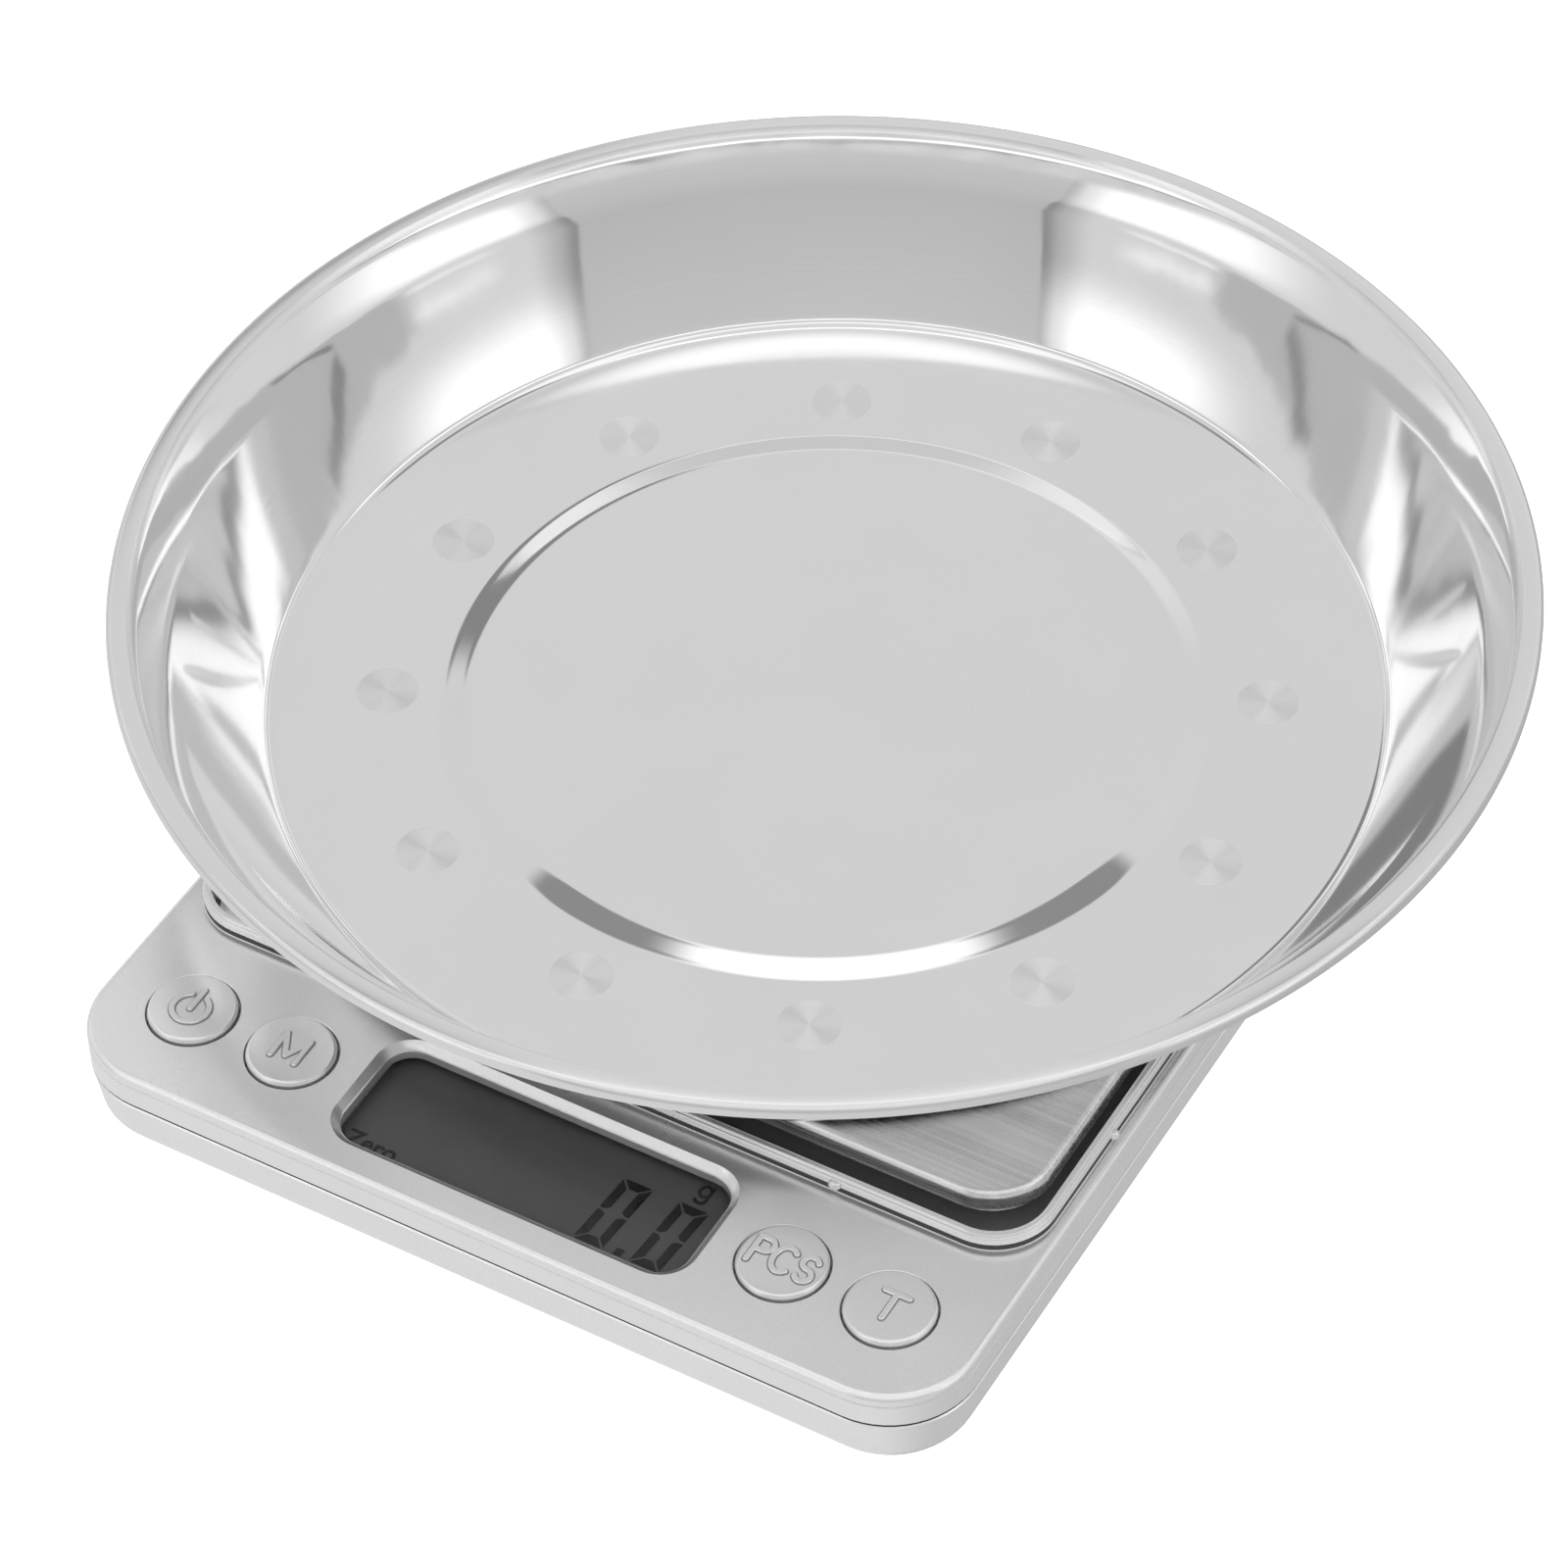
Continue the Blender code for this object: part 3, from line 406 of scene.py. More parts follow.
def plain(name, color, roughness, metallic=0.0, grain=900, contrast=0.08, depth=0.00001):
    """A material with a fine mottled grain, for moulded, plated and painted small pieces."""
    g = Graph(name)
    fine = g.noise(grain, 4.0, 0.6)
    cloud = g.noise(grain / 12, 3.0, 0.5)
    tone = g.spread(g.mixed(fine, cloud, 0.5), 0.35, 0.65)
    tinted = g.tint(color, 1 - contrast, 1 + contrast, tone)
    rough = g.spread(cloud, 0.3, 0.7, roughness * 0.88, min(1.0, roughness * 1.12))
    normal = g.bump(fine, depth, 0.4)
    return g.principled(base_color=tinted, metallic=metallic, roughness=rough, normal=normal)


def circuit_board_green():
    """Solder mask over copper: traces show as paler, slightly raised bands, with pads between them."""
    g = Graph("circuit_green")
    y = g.split(g.coords)[1]
    cells = g.add("ShaderNodeTexVoronoi", {"Vector": g.coords, "Scale": 260.0}, distance="MANHATTAN")
    wander = g.noise(180, 1.0, 0.4)
    bands = g.math("PINGPONG", g.total(g.times(y, 420.0), g.times(wander, 3.0)), 0.5)
    trace = g.spread(bands, 0.3, 0.34)
    pad = g.spread(cells.outputs["Distance"], 0.12, 0.14, 1.0, 0.0)
    copper = g.math("MAXIMUM", trace, pad)
    color = g.mix(copper, (0.012, 0.13, 0.05), (0.03, 0.24, 0.09))
    normal = g.bump(copper, 0.00003, 0.5)
    return g.principled(base_color=color, roughness=0.32, normal=normal)


def clear_plastic():
    """A thin clear window: what is under it shows through, and its gloss comes from Fresnel."""
    g = Graph("clear_plastic")
    haze = g.noise(300, 3.0, 0.5)
    rough = g.spread(haze, 0.3, 0.7, 0.08, 0.14)
    g.principled(base_color=(0.22, 0.22, 0.22), metallic=1.0, roughness=rough)
    inside = g.add("ShaderNodeNewGeometry").outputs["Backfacing"]
    gloss = g.add("ShaderNodeFresnel", {"IOR": 1.49}).outputs[0]
    gloss = g.times(gloss, g.minus(1.0, inside))
    clear = g.add("ShaderNodeBsdfTransparent", {"Color": (0.97, 0.97, 0.97, 1.0)}).outputs[0]
    return g.surface(gloss, clear, g.shader.outputs[0])


SILVER = silver_paint()
BRUSHED = brushed_steel()
POLISHED = polished_steel()
BLACK = plain("black_plastic", (0.018, 0.018, 0.018), 0.5, grain=1600, contrast=0.2, depth=0.00003)
# Painted shade: a near-black material for faces in the case's parting gap and at the lip's foot, standing
# in for the shade there.
SHADOW = plain("painted_shade_seam", (0.05, 0.05, 0.05), 0.5, grain=1600, contrast=0.2, depth=0.00003)
RUBBER = plain("rubber", (0.028, 0.028, 0.027), 0.82, grain=2200, contrast=0.2, depth=0.00004)
ZINC = plain("zinc_steel", (0.6, 0.6, 0.585), 0.3, 1.0, grain=1800, contrast=0.08)
ALUMINIUM = plain("aluminium", (0.74, 0.74, 0.75), 0.34, 1.0, grain=1300, contrast=0.06)
WHITE = plain("white_plastic", (0.8, 0.8, 0.78), 0.45, grain=700, contrast=0.03)
LCD_DARK = plain("lcd_glass", (0.15, 0.151, 0.152), 0.5, grain=2600, contrast=0.06, depth=0.000002)
LCD_INK = plain("lcd_ink", (0.018, 0.018, 0.018), 0.3, grain=2600, contrast=0.1, depth=0.000002)
GREEN = circuit_board_green()
CLEAR = clear_plastic()
# Painted shade: a mid grey for the thin outline round each button's sign, standing in for the shade at
# the sign's edges.
SIGN_SHADE = plain("button_sign_painted_shade", (0.33, 0.33, 0.33), 0.4, 0.4, grain=2200, contrast=0.08)
WRAP = plain("battery_wrap", (0.045, 0.11, 0.28), 0.25, grain=500, contrast=0.1)
RED = plain("red_wire", (0.55, 0.02, 0.02), 0.38, grain=1500, contrast=0.1)
BLACK_LEAD = plain("black_wire", (0.02, 0.02, 0.02), 0.38, grain=1500, contrast=0.15)
WHITE_LEAD = plain("white_wire", (0.75, 0.75, 0.73), 0.4, grain=1500, contrast=0.04)


def dress(obj, material, slot, body, *nodes):
    """Gives a new piece its material, sets it on its body, and lets it stand for CAD nodes."""
    obj.data.materials.clear()
    obj.data.materials.append(material)
    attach(obj, body)
    if nodes:
        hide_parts(*nodes)


# ---- upper case ----
PARTING = 8.2
HALF = CASE_WIDTH / 2
CORNER = 10.0
WALL = 1.8
CASE_OUTLINE = (-HALF, HALF, 0.0, CASE_DEPTH, CORNER)
DECK_TOP = 12.4
DECK_ROUNDING = 0.85
FRONT_CEILING = 10.6
WELL_TOP = 10.5
WELL_UNDER = 9.1
LIP = (-51.5, 51.5, 22.3, 126.5, 7.0)
LIP_WALL = 1.1
LIP_SHADE = 13.3
LIP_TOP = CASE_HIGH.z / MM
ROOM_WALL = WALL + 0.4
FRONT_ROOM = (-HALF + ROOM_WALL, HALF - ROOM_WALL, ROOM_WALL, LIP[2] - 0.4, CORNER - ROOM_WALL)
WINDOW = (-20.8, 20.8, 4.6, 18.6, 3.2)
BUTTON_Y = 11.35
BUTTON_XS = {"power": -42.3, "mode": -29.8, "pieces": 29.8, "tare": 42.3}
HOLE_RADIUS = 5.05
CELL_OPENING = (-8, 8, 49, 101, 2.0)
BAY_OPENING = (12.6, 41.4, 58.0, 113.0, 1.0)
CASE_SCREWS = [(side * 46.0, y) for y in (27.5, 111.0) for side in (-1, 1)]
BOARD_SCREWS = [(side * 36.05, 18.6) for side in (-1, 1)]
# Each boss: screw places, foot, top, radius, top of the bore, radius of the bore.
BOSSES = [
    (CASE_SCREWS, 4.5, WELL_UNDER + 0.3, 3.0, 8.6, 1.4),
    (BOARD_SCREWS, 6.1, FRONT_CEILING + 0.2, 2.4, 9.6, 1.2),
]
SNAP_SPREAD = 29.7
SNAP_INSET = 19.7
SNAP_HEIGHT = 13.5
SNAP_SIZE = (0.75, 0.6, 0.62)

# Profiles of (distance inwards, height). The groove runs round the side, and the hole's go outwards.
GROOVE = [(0.0, 10.85), (0.03, 10.93), (0.16, 10.97), (0.16, 11.17), (0.03, 11.21), (0.0, 11.29)]
SIDE = [(WALL, PARTING), (0.15, PARTING), (0.0, PARTING + 0.15), (0.0, 10.2)] + GROOVE + [(0.0, 11.4)]
SIDE += quarter(DECK_ROUNDING, DECK_TOP - DECK_ROUNDING, DECK_ROUNDING, 0, 90, 10)
BEZEL = [(0.0, FRONT_CEILING), (0.0, 11.5), (-0.05, 11.6), (-0.16, 11.66), (-0.22, 11.7)]
BEZEL += [(-0.84, 12.26), (-0.9, 12.33), (-1.0, DECK_TOP)]
HOLE = [(0.0, FRONT_CEILING), (0.0, 12.2), (0.05, 12.34), (0.16, DECK_TOP)]
LIP_STEPS = [(-0.12, DECK_TOP), (-0.02, 12.44), (0.0, 12.56), (0.0, LIP_SHADE), (0.0, 13.98)]
LIP_STEPS += quarter(0.2, 14.0, 0.2, 0, 90, 4)[1:] + [(0.26, 14.2), (0.29, 14.24), (0.3, 14.36)]
LIP_STEPS += quarter(0.44, LIP_TOP - 0.14, 0.14, 0, 90, 3)[1:]
LIP_STEPS += [(0.82, LIP_TOP), (0.94, LIP_TOP - 0.05), (1.0, LIP_TOP - 0.17), (1.02, 14.2), (1.06, 14.14)]
LIP_STEPS += [(LIP_WALL, 14.02), (LIP_WALL, WELL_TOP + 0.4), (LIP_WALL + 0.4, WELL_TOP)]


def upper_skin():
    """The upper case as one closed skin: side, deck, bezel, button holes, stepped lip and well."""
    skin = Skin()
    bottom, deck = skin.sweep(CASE_OUTLINE, SIDE, 14)
    room_low, room_high = skin.sweep(FRONT_ROOM, [(0, WELL_UNDER), (0, FRONT_CEILING)])
    inner_low, inner_high = skin.sweep(CASE_OUTLINE, [(WALL, PARTING), (WALL, WELL_UNDER)], 14)
    bmesh.ops.remove_doubles(skin.bm, verts=bottom + inner_low, dist=1e-5)
    window_low, window_high = skin.sweep(WINDOW, BEZEL, 12)
    holes = [skin.tube(x, BUTTON_Y, HOLE_RADIUS, HOLE) for x in BUTTON_XS.values()]
    lip_low, well = skin.sweep(LIP, LIP_STEPS, 12)
    sheet = [(0, WELL_UNDER), (0, WELL_TOP)]
    openings = [skin.sweep(box, sheet, 4) for box in (CELL_OPENING, BAY_OPENING)]
    skin.fill(deck, window_high, *[high for low, high in holes], lip_low)
    skin.fill(well, *[high for low, high in openings])
    skin.fill(room_high, window_low, *[low for low, high in holes])
    skin.fill(inner_high, room_low, *[low for low, high in openings])
    return skin.done("case_top_shell")


def snap_places():
    x0, x1, y0, y1 = LIP[:4]
    places = [(side * SNAP_SPREAD, y) for y in (y0, y1) for side in (-1, 1)]
    return places + [(x, y) for x in (x0, x1) for y in (y0 + SNAP_INSET, y1 - SNAP_INSET)]


def snap(x, y):
    """A small rounded nub on the outside of the lip."""
    bm = bmesh.new()
    matrix = Matrix.Translation((x, y, SNAP_HEIGHT)) @ Matrix.Diagonal((*SNAP_SIZE, 1.0))
    bmesh.ops.create_uvsphere(bm, u_segments=24, v_segments=14, radius=1.0, matrix=matrix)
    return mesh_object("snap", bm)


def flat_face(height, upwards):
    """A test for the flat faces at this height that face this way."""
    return lambda place, normal: abs(place.z - height) < 0.01 and normal.z * upwards > 0.7


def lip_foot(place, normal):
    """A test for the lower part of the lip's outer side, where the photo shows a dark line."""
    # Painted shade: these faces get the dark material in place of the shade at the lip's foot.
    outwards = place.x * normal.x + (place.y - CASE_DEPTH / 2) * normal.y > 0
    upright = DECK_TOP + 0.1 < place.z < LIP_SHADE and abs(normal.z) < 0.3
    on_lip = abs(place.x) < -LIP[0] + 0.05 and place.y > LIP[2] - 0.05
    return outwards and upright and on_lip


def upper_shell():
    """The upper case with its screw bosses and snaps, and painted shade along its foot and its lip: a
    dark material on faces where shade falls.
    """
    shell = upper_skin()
    for places, low, high, radius, bore_high, bore_radius in BOSSES:
        for x, y in places:
            boss = post(x, y, low, high, radius)
            boolean(boss, post(x, y, low - 0.5, bore_high, bore_radius))
            boolean(shell, boss, "UNION")
    for x, y in snap_places():
        boolean(shell, snap(x, y), "UNION")
    smooth(shell, 28)
    weighted(shell)
    dress(shell, SILVER, "silver_paint", "case", "upper_case")
    # Painted shade: the upper case's underside rim at the parting line and the lip's foot get the dark
    # material.
    seam = flat_face(PARTING, -1)
    paint_where(shell, SHADOW, lambda place, normal: seam(place, normal) or lip_foot(place, normal))


# ---- lower case ----
LOWER_TOP = 7.9
CASE_BOTTOM = 1.2
FLOOR_TOP = 2.8
DRAFT = 0.9
BOTTOM_ROUNDING = 2.4
FEET = [(side * 44.5, y) for y in (9.0, 119.0) for side in (-1, 1)]
CELL_SCREWS = [(0, 94.4), (0, 87.9)]
CELL_PAD = (-7, 7, 84.5, 99.4, 1.0)
CELL_PAD_TOP = 3.5
BAY = (14.4, 39.6, 59.8, 111.2)
BAY_WALL = 1.2
BAY_TOP = 13.8
TAB_XS = (21.6, 32.4)
TAB_HALF = 1.5
# Each round recess in the underside: places, height of its roof, radius.
RECESSES = [(FEET, 2.0, 4.3), (CASE_SCREWS, FLOOR_TOP - 0.15, 2.6), (CELL_SCREWS, FLOOR_TOP - 0.2, 3.0)]
DOOR_X = 27.0
DOOR_FRONT = 57.8
DOOR_BACK = CASE_DEPTH + 2
DOOR_NARROW = 10.3
DOOR_WIDE = 11.3
DOOR_STEP = 2.05
GAP = 0.3
GRIP_COUNT = 4
GRIP_FIRST_Y = 106.5
GRIP_PITCH = 2.4
GRIP_HALF = 6.0
GRIP_HEIGHT = 1.1
GRIP_RADIUS = 0.5


def lower_outside(skin):
    """The drafted outer wall with its rounded bottom edge, from the top rim down. Returns both ends."""
    knee = CASE_BOTTOM + BOTTOM_ROUNDING
    lean = DRAFT * (LOWER_TOP - knee) / (LOWER_TOP - CASE_BOTTOM)
    steps = [(WALL, LOWER_TOP), (0.15, LOWER_TOP), (0.0, LOWER_TOP - 0.15)]
    steps += [(lean * 0.5, (LOWER_TOP + knee) / 2)]
    steps += quarter(lean + BOTTOM_ROUNDING, knee, BOTTOM_ROUNDING, 0, -90, 10)
    return skin.sweep(CASE_OUTLINE, steps, 14)


def lower_skin():
    """The lower case as one closed skin: drafted side, floor, and round recesses for feet and screws."""
    skin = Skin()
    rim, bottom = lower_outside(skin)
    inner = [(WALL, LOWER_TOP), (WALL, FLOOR_TOP + 0.5), (WALL + 0.5, FLOOR_TOP)]
    inner_rim, floor_edge = skin.sweep(CASE_OUTLINE, inner, 14)
    bmesh.ops.remove_doubles(skin.bm, verts=rim + inner_rim, dist=1e-5)
    recesses = []
    for places, roof, radius in RECESSES:
        for x, y in places:
            steps = [(0.12, CASE_BOTTOM), (0.0, CASE_BOTTOM + 0.12), (0.0, roof)]
            low, high = skin.tube(x, y, radius, steps, 48)
            recesses.append(low)
            skin.fill(high)
    skin.fill(bottom, *recesses)
    skin.fill(floor_edge)
    return skin.done("case_bottom_shell")


def door_box(half_width, front, radius):
    return (DOOR_X - half_width, DOOR_X + half_width, front, DOOR_BACK, radius)


def lower_shell():
    """The lower case with its battery bay, the door's stepped slot, tab slots and screw holes, and
    painted shade on its top rim.
    """
    shell = lower_skin()
    x0, x1, y0, y1 = BAY
    w = BAY_WALL
    block = slab("bay", (x0 - w, x1 + w, y0 - w, y1 + w, 1.0), FLOOR_TOP - 0.3, BAY_TOP + 1, 0.3)
    boolean(shell, block, "UNION")
    boolean(shell, slab("pad", CELL_PAD, FLOOR_TOP - 0.3, CELL_PAD_TOP, 0.1), "UNION")
    boolean(shell, slab("room", (*BAY, 0.4), FLOOR_TOP - 0.05, BAY_TOP))
    front = DOOR_FRONT - GAP
    step = DOOR_STEP - GAP
    boolean(shell, slab("wide", door_box(DOOR_WIDE + GAP, front, 0.2), step, FLOOR_TOP + 0.1))
    boolean(shell, slab("narrow", door_box(DOOR_NARROW + GAP, front, 0.2), 0.5, step + 0.1))
    for x in TAB_XS:
        boolean(shell, slab("tab", (x - TAB_HALF, x + TAB_HALF, y0 - 2 * w, y0 + 0.5, 0.1), 4.0, 5.4))
    for x, y in CASE_SCREWS:
        boolean(shell, post(x, y, FLOOR_TOP - 0.1, 4.2, 3.5), "UNION")
        boolean(shell, post(x, y, 2.5, 5.0, 1.4))
    for x, y in CELL_SCREWS:
        boolean(shell, post(x, y, 2.4, 5.0, 1.8))
    smooth(shell, 28)
    weighted(shell)
    dress(shell, SILVER, "silver_paint", "case", "lower_case")
    # Painted shade: the top rim faces in the gap between the two case halves get the dark material.
    paint_where(shell, SHADOW, flat_face(LOWER_TOP, 1))


def door_panel():
    """The sliding battery door: the case's outer wall cut to a stepped plate, with round grip grooves."""
    skin = Skin()
    for ring in lower_outside(skin):
        skin.fill(ring)
    door = skin.done("battery_door_panel")
    plate = slab("wide", door_box(DOOR_WIDE, DOOR_FRONT, 0.3), DOOR_STEP, 2.5)
    boolean(plate, slab("narrow", door_box(DOOR_NARROW, DOOR_FRONT, 0.3), 0.5, 2.1), "UNION")
    boolean(door, plate, "INTERSECT")
    for i in range(GRIP_COUNT):
        y = GRIP_FIRST_Y + GRIP_PITCH * i
        boolean(door, bar(DOOR_X - GRIP_HALF, DOOR_X + GRIP_HALF, y, GRIP_HEIGHT, GRIP_RADIUS))
    smooth(door, 28)
    weighted(door)
    dress(door, SILVER, "silver_paint", "battery_door", "battery_door")


def bar(x0, x1, y, z, radius):
    """A closed round bar along X, with round ends."""
    bm = bmesh.new()
    bmesh.ops.create_uvsphere(bm, u_segments=24, v_segments=12, radius=radius)
    for vert in bm.verts:
        if vert.co.x > 1e-4:
            vert.co.x += x1 - x0
    bmesh.ops.translate(bm, verts=bm.verts, vec=(x0, y, z))
    return mesh_object("bar", bm)


# ---- buttons ----
BUTTON_RADIUS = 4.8
BUTTON_TOP = 13.3
CAP_FACE = 13.05
CAP_EDGE = 0.42
CAP_BULGE = 0.04
SIGN_ROOT = CAP_FACE - 0.1
# The grey outline round each sign is painted shade; these set its top and its half width.
SHADE_LINE_TOP = CAP_FACE + 0.05
HALF_STROKE = 0.32
HALF_SHADE_LINE = 0.45
STROKE_STEP = 0.006


def bow(x, y, rx, ry, start, end, count=14):
    angles = [math.radians(start + (end - start) * i / count) for i in range(count + 1)]
    return [(x + rx * math.cos(a), y + ry * math.sin(a)) for a in angles]


def legends():
    """The raised sign of each button as strokes, in millimetres from the button's centre."""
    p = [[(-3.35, -1.7), (-3.35, 1.7)]]
    p.append([(-3.35, 1.7), (-2.35, 1.7)] + bow(-2.3, 0.85, 0.85, 0.85, 90, -90, 12)[1:] + [(-3.35, 0.0)])
    c = [bow(0.2, 0.0, 1.2, 1.7, 48, 312, 18)]
    s = [bow(2.85, 0.85, 0.85, 0.85, 25, 255, 12) + bow(2.85, -0.85, 0.85, 0.85, 75, -155, 12)]
    m = [(-1.5, -1.7), (-1.5, 1.7), (0, -1.1), (1.5, 1.7), (1.5, -1.7)]
    return {
        "power": [bow(0, -0.3, 2.0, 2.0, 118, 422, 30), [(0, -0.4), (0, 2.5)]],
        "mode": [m[i : i + 2] for i in range(4)],
        "pieces": p + c + s,
        "tare": [[(-1.4, 1.6), (1.4, 1.6)], [(0, 1.6), (0, -1.8)]],
    }


def stroke(bm, points, low, high, half_width=HALF_STROKE, soft=0.07, turns=6):
    """A raised closed ridge along the points, with round ends and softened shoulders."""
    up = Vector((0, 0, 1))
    points = [Vector((*p, 0.0)) for p in points]
    sections = ((half_width, low), (half_width, high - soft), (half_width - soft, high))
    rings = []
    for half, z in sections:
        left, right = [], []
        for i, here in enumerate(points):
            before, after = points[max(i - 1, 0)], points[min(i + 1, len(points) - 1)]
            side = (after - before).normalized().cross(up)
            left.append(here - side * half)
            right.append(here + side * half)
        caps = []
        for end, inner in ((points[-1], points[-2]), (points[0], points[1])):
            out = (end - inner).normalized()
            across = out.cross(up)
            turn = [math.pi * i / turns for i in range(1, turns)]
            caps.append([end + across * half * math.cos(a) + out * half * math.sin(a) for a in turn])
        outline = right + caps[0] + left[::-1] + caps[1]
        rings.append([bm.verts.new((p.x, p.y, z)) for p in outline])
    for below, above in zip(rings, rings[1:]):
        join_rings(bm, below, above)
    length = len(points)
    for ring in (rings[0], rings[-1]):
        right, rest = ring[:length], ring[length:]
        end_cap, rest = rest[: turns - 1], rest[turns - 1 :]
        left, start_cap = rest[:length][::-1], rest[length:]
        for i in range(length - 1):
            bm.faces.new((right[i], right[i + 1], left[i + 1], left[i]))
        bm.faces.new([right[-1]] + end_cap + [left[-1]])
        bm.faces.new([left[0]] + start_cap + [right[0]])


def sign_piece(name, strokes, origin, top, *shape):
    """Strokes as one mesh. Each ends a hair lower than the one before, so no two tops share a plane."""
    bm = bmesh.new()
    for i, points in enumerate(strokes):
        stroke(bm, points, SIGN_ROOT, top - STROKE_STEP * i, *shape)
    sign = closed_mesh(name, bm, origin)
    smooth(sign, 40)
    return sign


def button_caps():
    """Round caps with a softened top edge, a raised sign, and a lower, wider grey outline round the sign,
    which is painted shade along the sign's edges.
    """
    r, top = BUTTON_RADIUS, CAP_FACE
    edge = quarter(CAP_EDGE, top - CAP_EDGE, CAP_EDGE, 90, 0, 6)
    profile = [(0.0, top), (r * 0.5, top)] + [(r - o, z) for o, z in edge]
    profile += [(r, 12.6), (r + CAP_BULGE, 12.55), (r + CAP_BULGE, 11.2), (r, 11.1), (r, 10.3)]
    profile += [(5.6, 10.25), (5.6, 9.65), (5.55, 9.6), (2.0, 9.6), (2.0, 9.15), (1.95, 9.1), (0.0, 9.1)]
    signs = legends()
    for name, x in BUTTON_XS.items():
        body = name + "_button"
        origin = CASE_ORIGIN + Vector((x, BUTTON_Y, 0)) * MM
        cap = revolve(name + "_cap", profile, 96, origin)
        smooth(cap, 30)
        weighted(cap)
        dress(cap, SILVER, "silver_paint", body, body)
        sign = sign_piece(name + "_sign", signs[name], origin, BUTTON_TOP)
        dress(sign, SILVER, "silver_paint", body)
        # Painted shade: a wider, lower copy of the sign in grey, standing in for the shade along the
        # sign's edges.
        line = sign_piece(name + "_sign_painted_shade", signs[name], origin, SHADE_LINE_TOP, HALF_SHADE_LINE, 0.02)
        dress(line, SIGN_SHADE, "silver_paint", body)


# ---- display ----
LENS = (-23.6, 23.6, 2.7, 20.9, 1.2)
LENS_UNDER = 9.8
LENS_TOP = 10.3
PANEL = (-23.4, 23.4, 2.9, 21.2, 0.4)
PANEL_UNDER = 7.7
PANEL_TOP = 9.45
INK_Z = PANEL_TOP + 0.01
SLANT = 0.07
DIGIT_WIDTH = 3.5
DIGIT_HEIGHT = 9.3
SEGMENT = 1.05
SEGMENT_GAP = 0.17
DIGIT_XS = (7.8, 14.5)
DIGIT_BASE = 6.2
POINT_X = 12.55
POINT_SIZE = 0.95
ZERO_PLACE = (-20.1, 5.65)
ZERO_SIZE = 3.0
UNIT_X = 16.8
UNIT_Y = 17.9
SEAL_X = 21.3


def flat_shape(bm, points, z, thickness=0.02):
    """A thin closed plate with the given outline."""
    low = [bm.verts.new((x, y, z)) for x, y in points]
    high = [bm.verts.new((x, y, z + thickness)) for x, y in points]
    bm.faces.new(low[::-1])
    bm.faces.new(high)
    join_rings(bm, low, high)


def leaning(points, x, y):
    return [(x + px + SLANT * py, y + py) for px, py in points]


def digit_zero():
    """The six outer segments of a seven-segment nought, as outlines from its lower left corner."""
    w, h, s, g = DIGIT_WIDTH, DIGIT_HEIGHT, SEGMENT, SEGMENT_GAP
    middle = h / 2
    top = [(g, h), (w - g, h), (w - s - g, h - s), (s + g, h - s)]
    bottom = [(g, 0), (s + g, s), (w - s - g, s), (w - g, 0)]
    upper_left = [(0, h - g), (0, middle + g), (s / 2, middle + g), (s, middle + s / 2), (s, h - s - g)]
    lower_left = [(0, g), (s, s + g), (s, middle - s / 2), (s / 2, middle - g), (0, middle - g)]
    outlines = [top, bottom, upper_left, lower_left]
    for side in (upper_left, lower_left):
        outlines.append([(w - px, py) for px, py in side][::-1])
    return outlines


def zero_sign():
    """The word Zero in slightly bold letters, as a thin closed mesh."""
    curve = bpy.data.curves.new("Zero", "FONT")
    curve.body = "Zero"
    curve.size = ZERO_SIZE * MM
    curve.extrude = 0.01 * MM
    curve.resolution_u = 3
    curve.offset = 0.07 * MM
    writing = bpy.data.objects.new("Zero", curve)
    bpy.context.scene.collection.objects.link(writing)
    writing.location = CASE_ORIGIN + Vector((*ZERO_PLACE, INK_Z)) * MM
    bpy.context.view_layer.update()
    graph = bpy.context.evaluated_depsgraph_get()
    mesh = bpy.data.meshes.new_from_object(writing.evaluated_get(graph))
    mesh.transform(writing.matrix_world)
    bpy.data.objects.remove(writing, do_unlink=True)
    sign = bpy.data.objects.new("lcd_zero_sign", mesh)
    bpy.context.scene.collection.objects.link(sign)
    return sign


def box_outline(x0, x1, y0, y1):
    return [(x0, y0), (x1, y0), (x1, y1), (x0, y1)]


def digits():
    """The two noughts and the decimal point between them."""
    bm = bmesh.new()
    for x in DIGIT_XS:
        for outline in digit_zero():
            flat_shape(bm, leaning(outline, x, DIGIT_BASE), INK_Z)
    point = box_outline(0, POINT_SIZE, 0, POINT_SIZE)
    flat_shape(bm, leaning(point, POINT_X, DIGIT_BASE), INK_Z)
    return closed_mesh("lcd_digits", bm)


def display():
    """The window and the panel under it, with dark segments and signs, and a white seal at each end."""
    window = slab("display_lens", LENS, LENS_UNDER, LENS_TOP, 0.06)
    smooth(window)
    dress(window, CLEAR, "clear_plastic", "case", "display_window")
    panel = slab("lcd_glass_panel", PANEL, PANEL_UNDER, PANEL_TOP, 0.05)
    smooth(panel)
    dress(panel, LCD_DARK, "lcd_glass", "case", "lcd_panel")
    for ink in (digits(), zero_sign(), unit_sign()):
        dress(ink, LCD_INK, "lcd_glass", "case")
    bm = bmesh.new()
    for x in (-SEAL_X, SEAL_X):
        flat_shape(bm, box_outline(x - 0.06, x + 0.06, 3.2, 20.8), INK_Z, 0.03)
    dress(mesh_object("lcd_seal_line", bm), WHITE, "white_plastic", "case")


